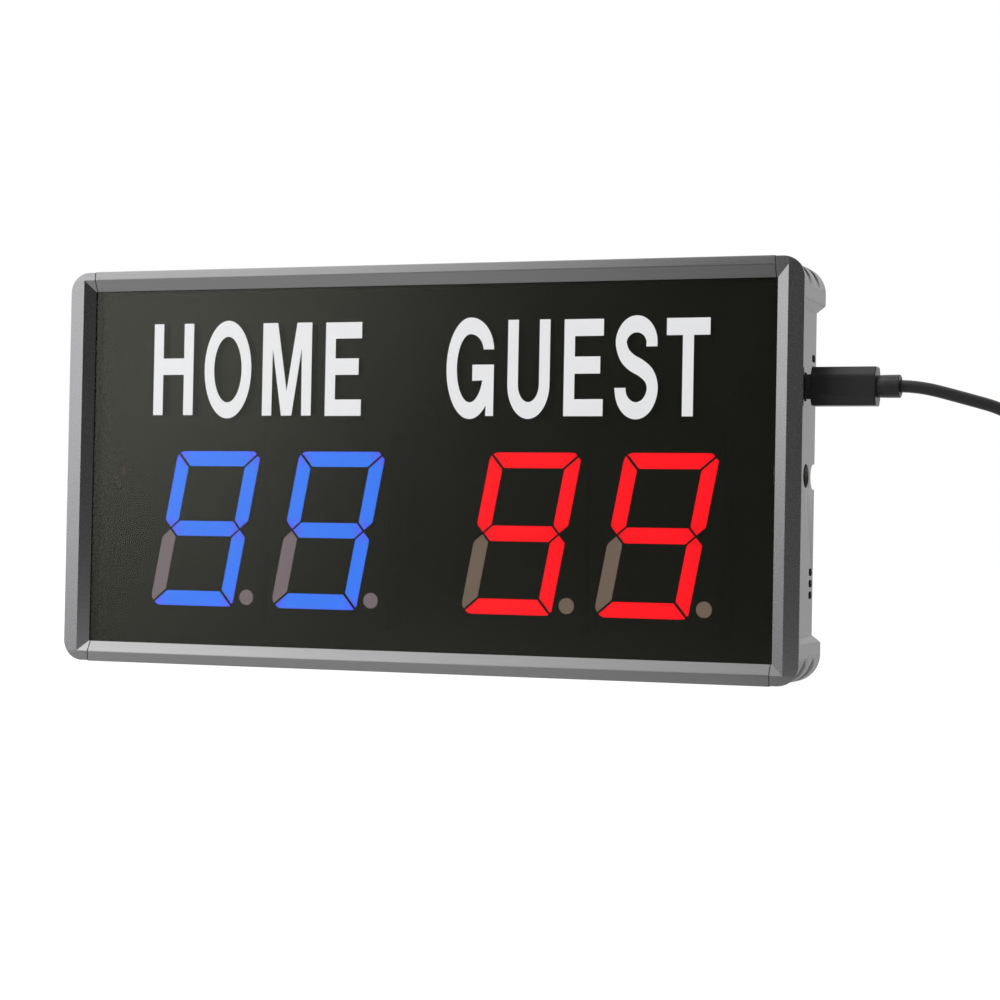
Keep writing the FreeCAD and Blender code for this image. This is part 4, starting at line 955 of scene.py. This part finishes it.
FINISHES["lit_blue"] = segment_finish(
    "lit_blue", (0.02, 0.08, 0.5), (0.032, 0.19, 0.9), (0.085, 0.12, 0.9), 3.7)
FINISHES["lit_red"] = segment_finish(
    "lit_red", (0.5, 0.005, 0.01), (1.0, 0.001, 0.01), (0.85, 0.001, 0.01), 3.8)
# Painted light: the unlit segments have no lamp, and their weak emission stands in for stray light from
# their neighbours.
FINISHES["unlit_blue_side"] = segment_finish(
    "unlit_blue_side", (0.42, 0.34, 0.37), (0.18, 0.14, 0.155), (0.17, 0.13, 0.145), 3.0)
FINISHES["unlit_red_side"] = segment_finish(
    "unlit_red_side", (0.36, 0.29, 0.23), (0.165, 0.118, 0.09), (0.15, 0.105, 0.08), 3.0)
print(len(FINISHES), "finishes with the segments")

# %% Put the finishes on
record_slot = {part["node"]: part["material_slot"] for part in frame["record"]["subparts"]}


def dress(obj, material):
    """Gives an object one material."""
    obj.data.materials.clear()
    obj.data.materials.append(material)


for name, obj in nodes.items():
    dress(obj, FINISHES[record_slot[name]])
for obj in list(bpy.data.objects):
    if "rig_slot" in obj and "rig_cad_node" not in obj:
        dress(obj, FINISHES[obj["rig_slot"]])

# %% [markdown]
# ## The studio
#
# The board stands on a white sheet in front of a white wall. One broad soft lamp is at the front left, a
# second higher up at the left, and the front right is dark. Grey paint mirrors that: the left of the frame
# is light and the right is dark. The wall is the world's own white, seen by the camera and behind the
# board; the front of the room is dim.
#
# Light Path tells the floor who is looking. To the camera it is white, whatever the lamps do, and still
# takes the board's shadow. In what mirrors it, it is pale at the left and behind, and fades to dark at the
# front right. The fade is worked out from the floor's own coordinates: Y less X runs from one side to the
# other.

# %% Floor
FLOOR_RADIUS = 6.0
FLOOR_SEEN = 0.95
FLOOR_MIRRORED = 0.56
FLOOR_TURN = 1.0
FLOOR_DARK_END, FLOOR_PALE_END = -0.30, -0.02
FLOOR_GREY = 0.13
floor_mesh = bpy.data.meshes.new("floor")
floor_corners = [(across * FLOOR_RADIUS, deep * FLOOR_RADIUS, 0) for across, deep in
                 ((-1, -1), (1, -1), (1, 1), (-1, 1))]
floor_mesh.from_pydata(floor_corners, [], [(0, 1, 2, 3)])
floor = bpy.data.objects.new("floor", floor_mesh)
bpy.context.scene.collection.objects.link(floor)
floor_finish = bpy.data.materials.new("floor_white")
floor_finish.use_nodes = True
floor_tree = floor_finish.node_tree
floor_shader = floor_tree.nodes["Principled BSDF"]
floor_shader.inputs["Base Color"].default_value = (FLOOR_GREY, FLOOR_GREY, FLOOR_GREY, 1)
floor_shader.inputs["Roughness"].default_value = 0.9
floor_shader.inputs["Specular IOR Level"].default_value = 0.1
floor_shader.inputs["Emission Color"].default_value = (1, 1, 1, 1)
floor_light = floor_tree.nodes.new("ShaderNodeLightPath")
floor_place = floor_tree.nodes.new("ShaderNodeTexCoord")
floor_parts = floor_tree.nodes.new("ShaderNodeSeparateXYZ")
floor_side = math_node(floor_tree, "MULTIPLY_ADD", -FLOOR_TURN)
floor_pale = eased_range(floor_tree, FLOOR_DARK_END, FLOOR_PALE_END, end=FLOOR_MIRRORED)
floor_mirrored = math_node(floor_tree, "MULTIPLY")
floor_strength = math_node(floor_tree, "MULTIPLY_ADD", FLOOR_SEEN)
floor_tree.links.new(floor_place.outputs["Object"], floor_parts.inputs[0])
floor_tree.links.new(floor_parts.outputs["X"], floor_side.inputs[0])
floor_tree.links.new(floor_parts.outputs["Y"], floor_side.inputs[2])
floor_tree.links.new(floor_side.outputs[0], floor_pale.inputs["Value"])
floor_tree.links.new(floor_pale.outputs[0], floor_mirrored.inputs[0])
floor_tree.links.new(floor_light.outputs["Is Glossy Ray"], floor_mirrored.inputs[1])
floor_tree.links.new(floor_light.outputs["Is Camera Ray"], floor_strength.inputs[0])
floor_tree.links.new(floor_mirrored.outputs[0], floor_strength.inputs[2])
floor_tree.links.new(floor_strength.outputs[0], floor_shader.inputs["Emission Strength"])
floor_mesh.materials.append(floor_finish)
print("floor", 2 * FLOOR_RADIUS, "m wide")

# %% World
FRONT_DIM = 0.03
BACK_LEVEL = 0.75
DIFFUSE_LEVEL = 0.82
TURN_REACH = 0.35
world = bpy.data.worlds.new("studio")
bpy.context.scene.world = world
world.use_nodes = True
room = world.node_tree
background = room.nodes["Background"]
background.inputs["Color"].default_value = (1, 1, 1, 1)
direction = room.nodes.new("ShaderNodeTexCoord")
parts = room.nodes.new("ShaderNodeSeparateXYZ")
behind = eased_range(room, -TURN_REACH, TURN_REACH, FRONT_DIM, BACK_LEVEL)
path = room.nodes.new("ShaderNodeLightPath")
seen = math_node(room, "MAXIMUM")
mirrored = room.nodes.new("ShaderNodeMix")
mirrored.inputs[2].default_value = DIFFUSE_LEVEL
level = room.nodes.new("ShaderNodeMix")
level.inputs[3].default_value = 1.0
room.links.new(direction.outputs["Generated"], parts.inputs[0])
room.links.new(parts.outputs["Y"], behind.inputs["Value"])
room.links.new(path.outputs["Is Glossy Ray"], mirrored.inputs[0])
room.links.new(behind.outputs[0], mirrored.inputs[3])
room.links.new(mirrored.outputs[0], level.inputs[2])
room.links.new(path.outputs["Is Camera Ray"], seen.inputs[0])
room.links.new(path.outputs["Is Transmission Ray"], seen.inputs[1])
room.links.new(seen.outputs[0], level.inputs[0])
room.links.new(level.outputs[0], background.inputs["Strength"])
print("the room's strength is", FRONT_DIM, "in front and", BACK_LEVEL, "behind")


# %% Lamps
LAMP_AIM = Vector((0, 0, 0.06))


def soft_lamp(name, azimuth, elevation, distance, width, height, radiance, roll=0):
    """A rectangular lamp that faces the board.

    It stands at distance times (sin a cos e, -cos a cos e, sin e) from the board's middle, for azimuth a
    from the front towards the right and elevation e, and is turned about that line by a roll. Its power is
    pi times its area times its radiance.
    """
    a, e = math.radians(azimuth), math.radians(elevation)
    way = Vector((math.sin(a) * math.cos(e), -math.cos(a) * math.cos(e), math.sin(e)))
    data = bpy.data.lights.new(name, "AREA")
    data.shape = "RECTANGLE"
    data.size = width
    data.size_y = height
    data.energy = math.pi * width * height * radiance
    lamp = bpy.data.objects.new(name, data)
    bpy.context.scene.collection.objects.link(lamp)
    lamp.location = LAMP_AIM + way * distance
    turn = (-way).to_track_quat("-Z", "Y") @ Quaternion((0, 0, 1), math.radians(roll))
    lamp.rotation_euler = turn.to_euler()
    print(name, "at", [round(c, 2) for c in lamp.location], "power", round(data.energy, 2))


soft_lamp("key_lamp", azimuth=-52, elevation=23, distance=1.4, width=1.65, height=1.2, radiance=2.05,
          roll=-12)
soft_lamp("top_lamp", azimuth=-72, elevation=62, distance=1.6, width=1.9, height=1.1, radiance=1.6)
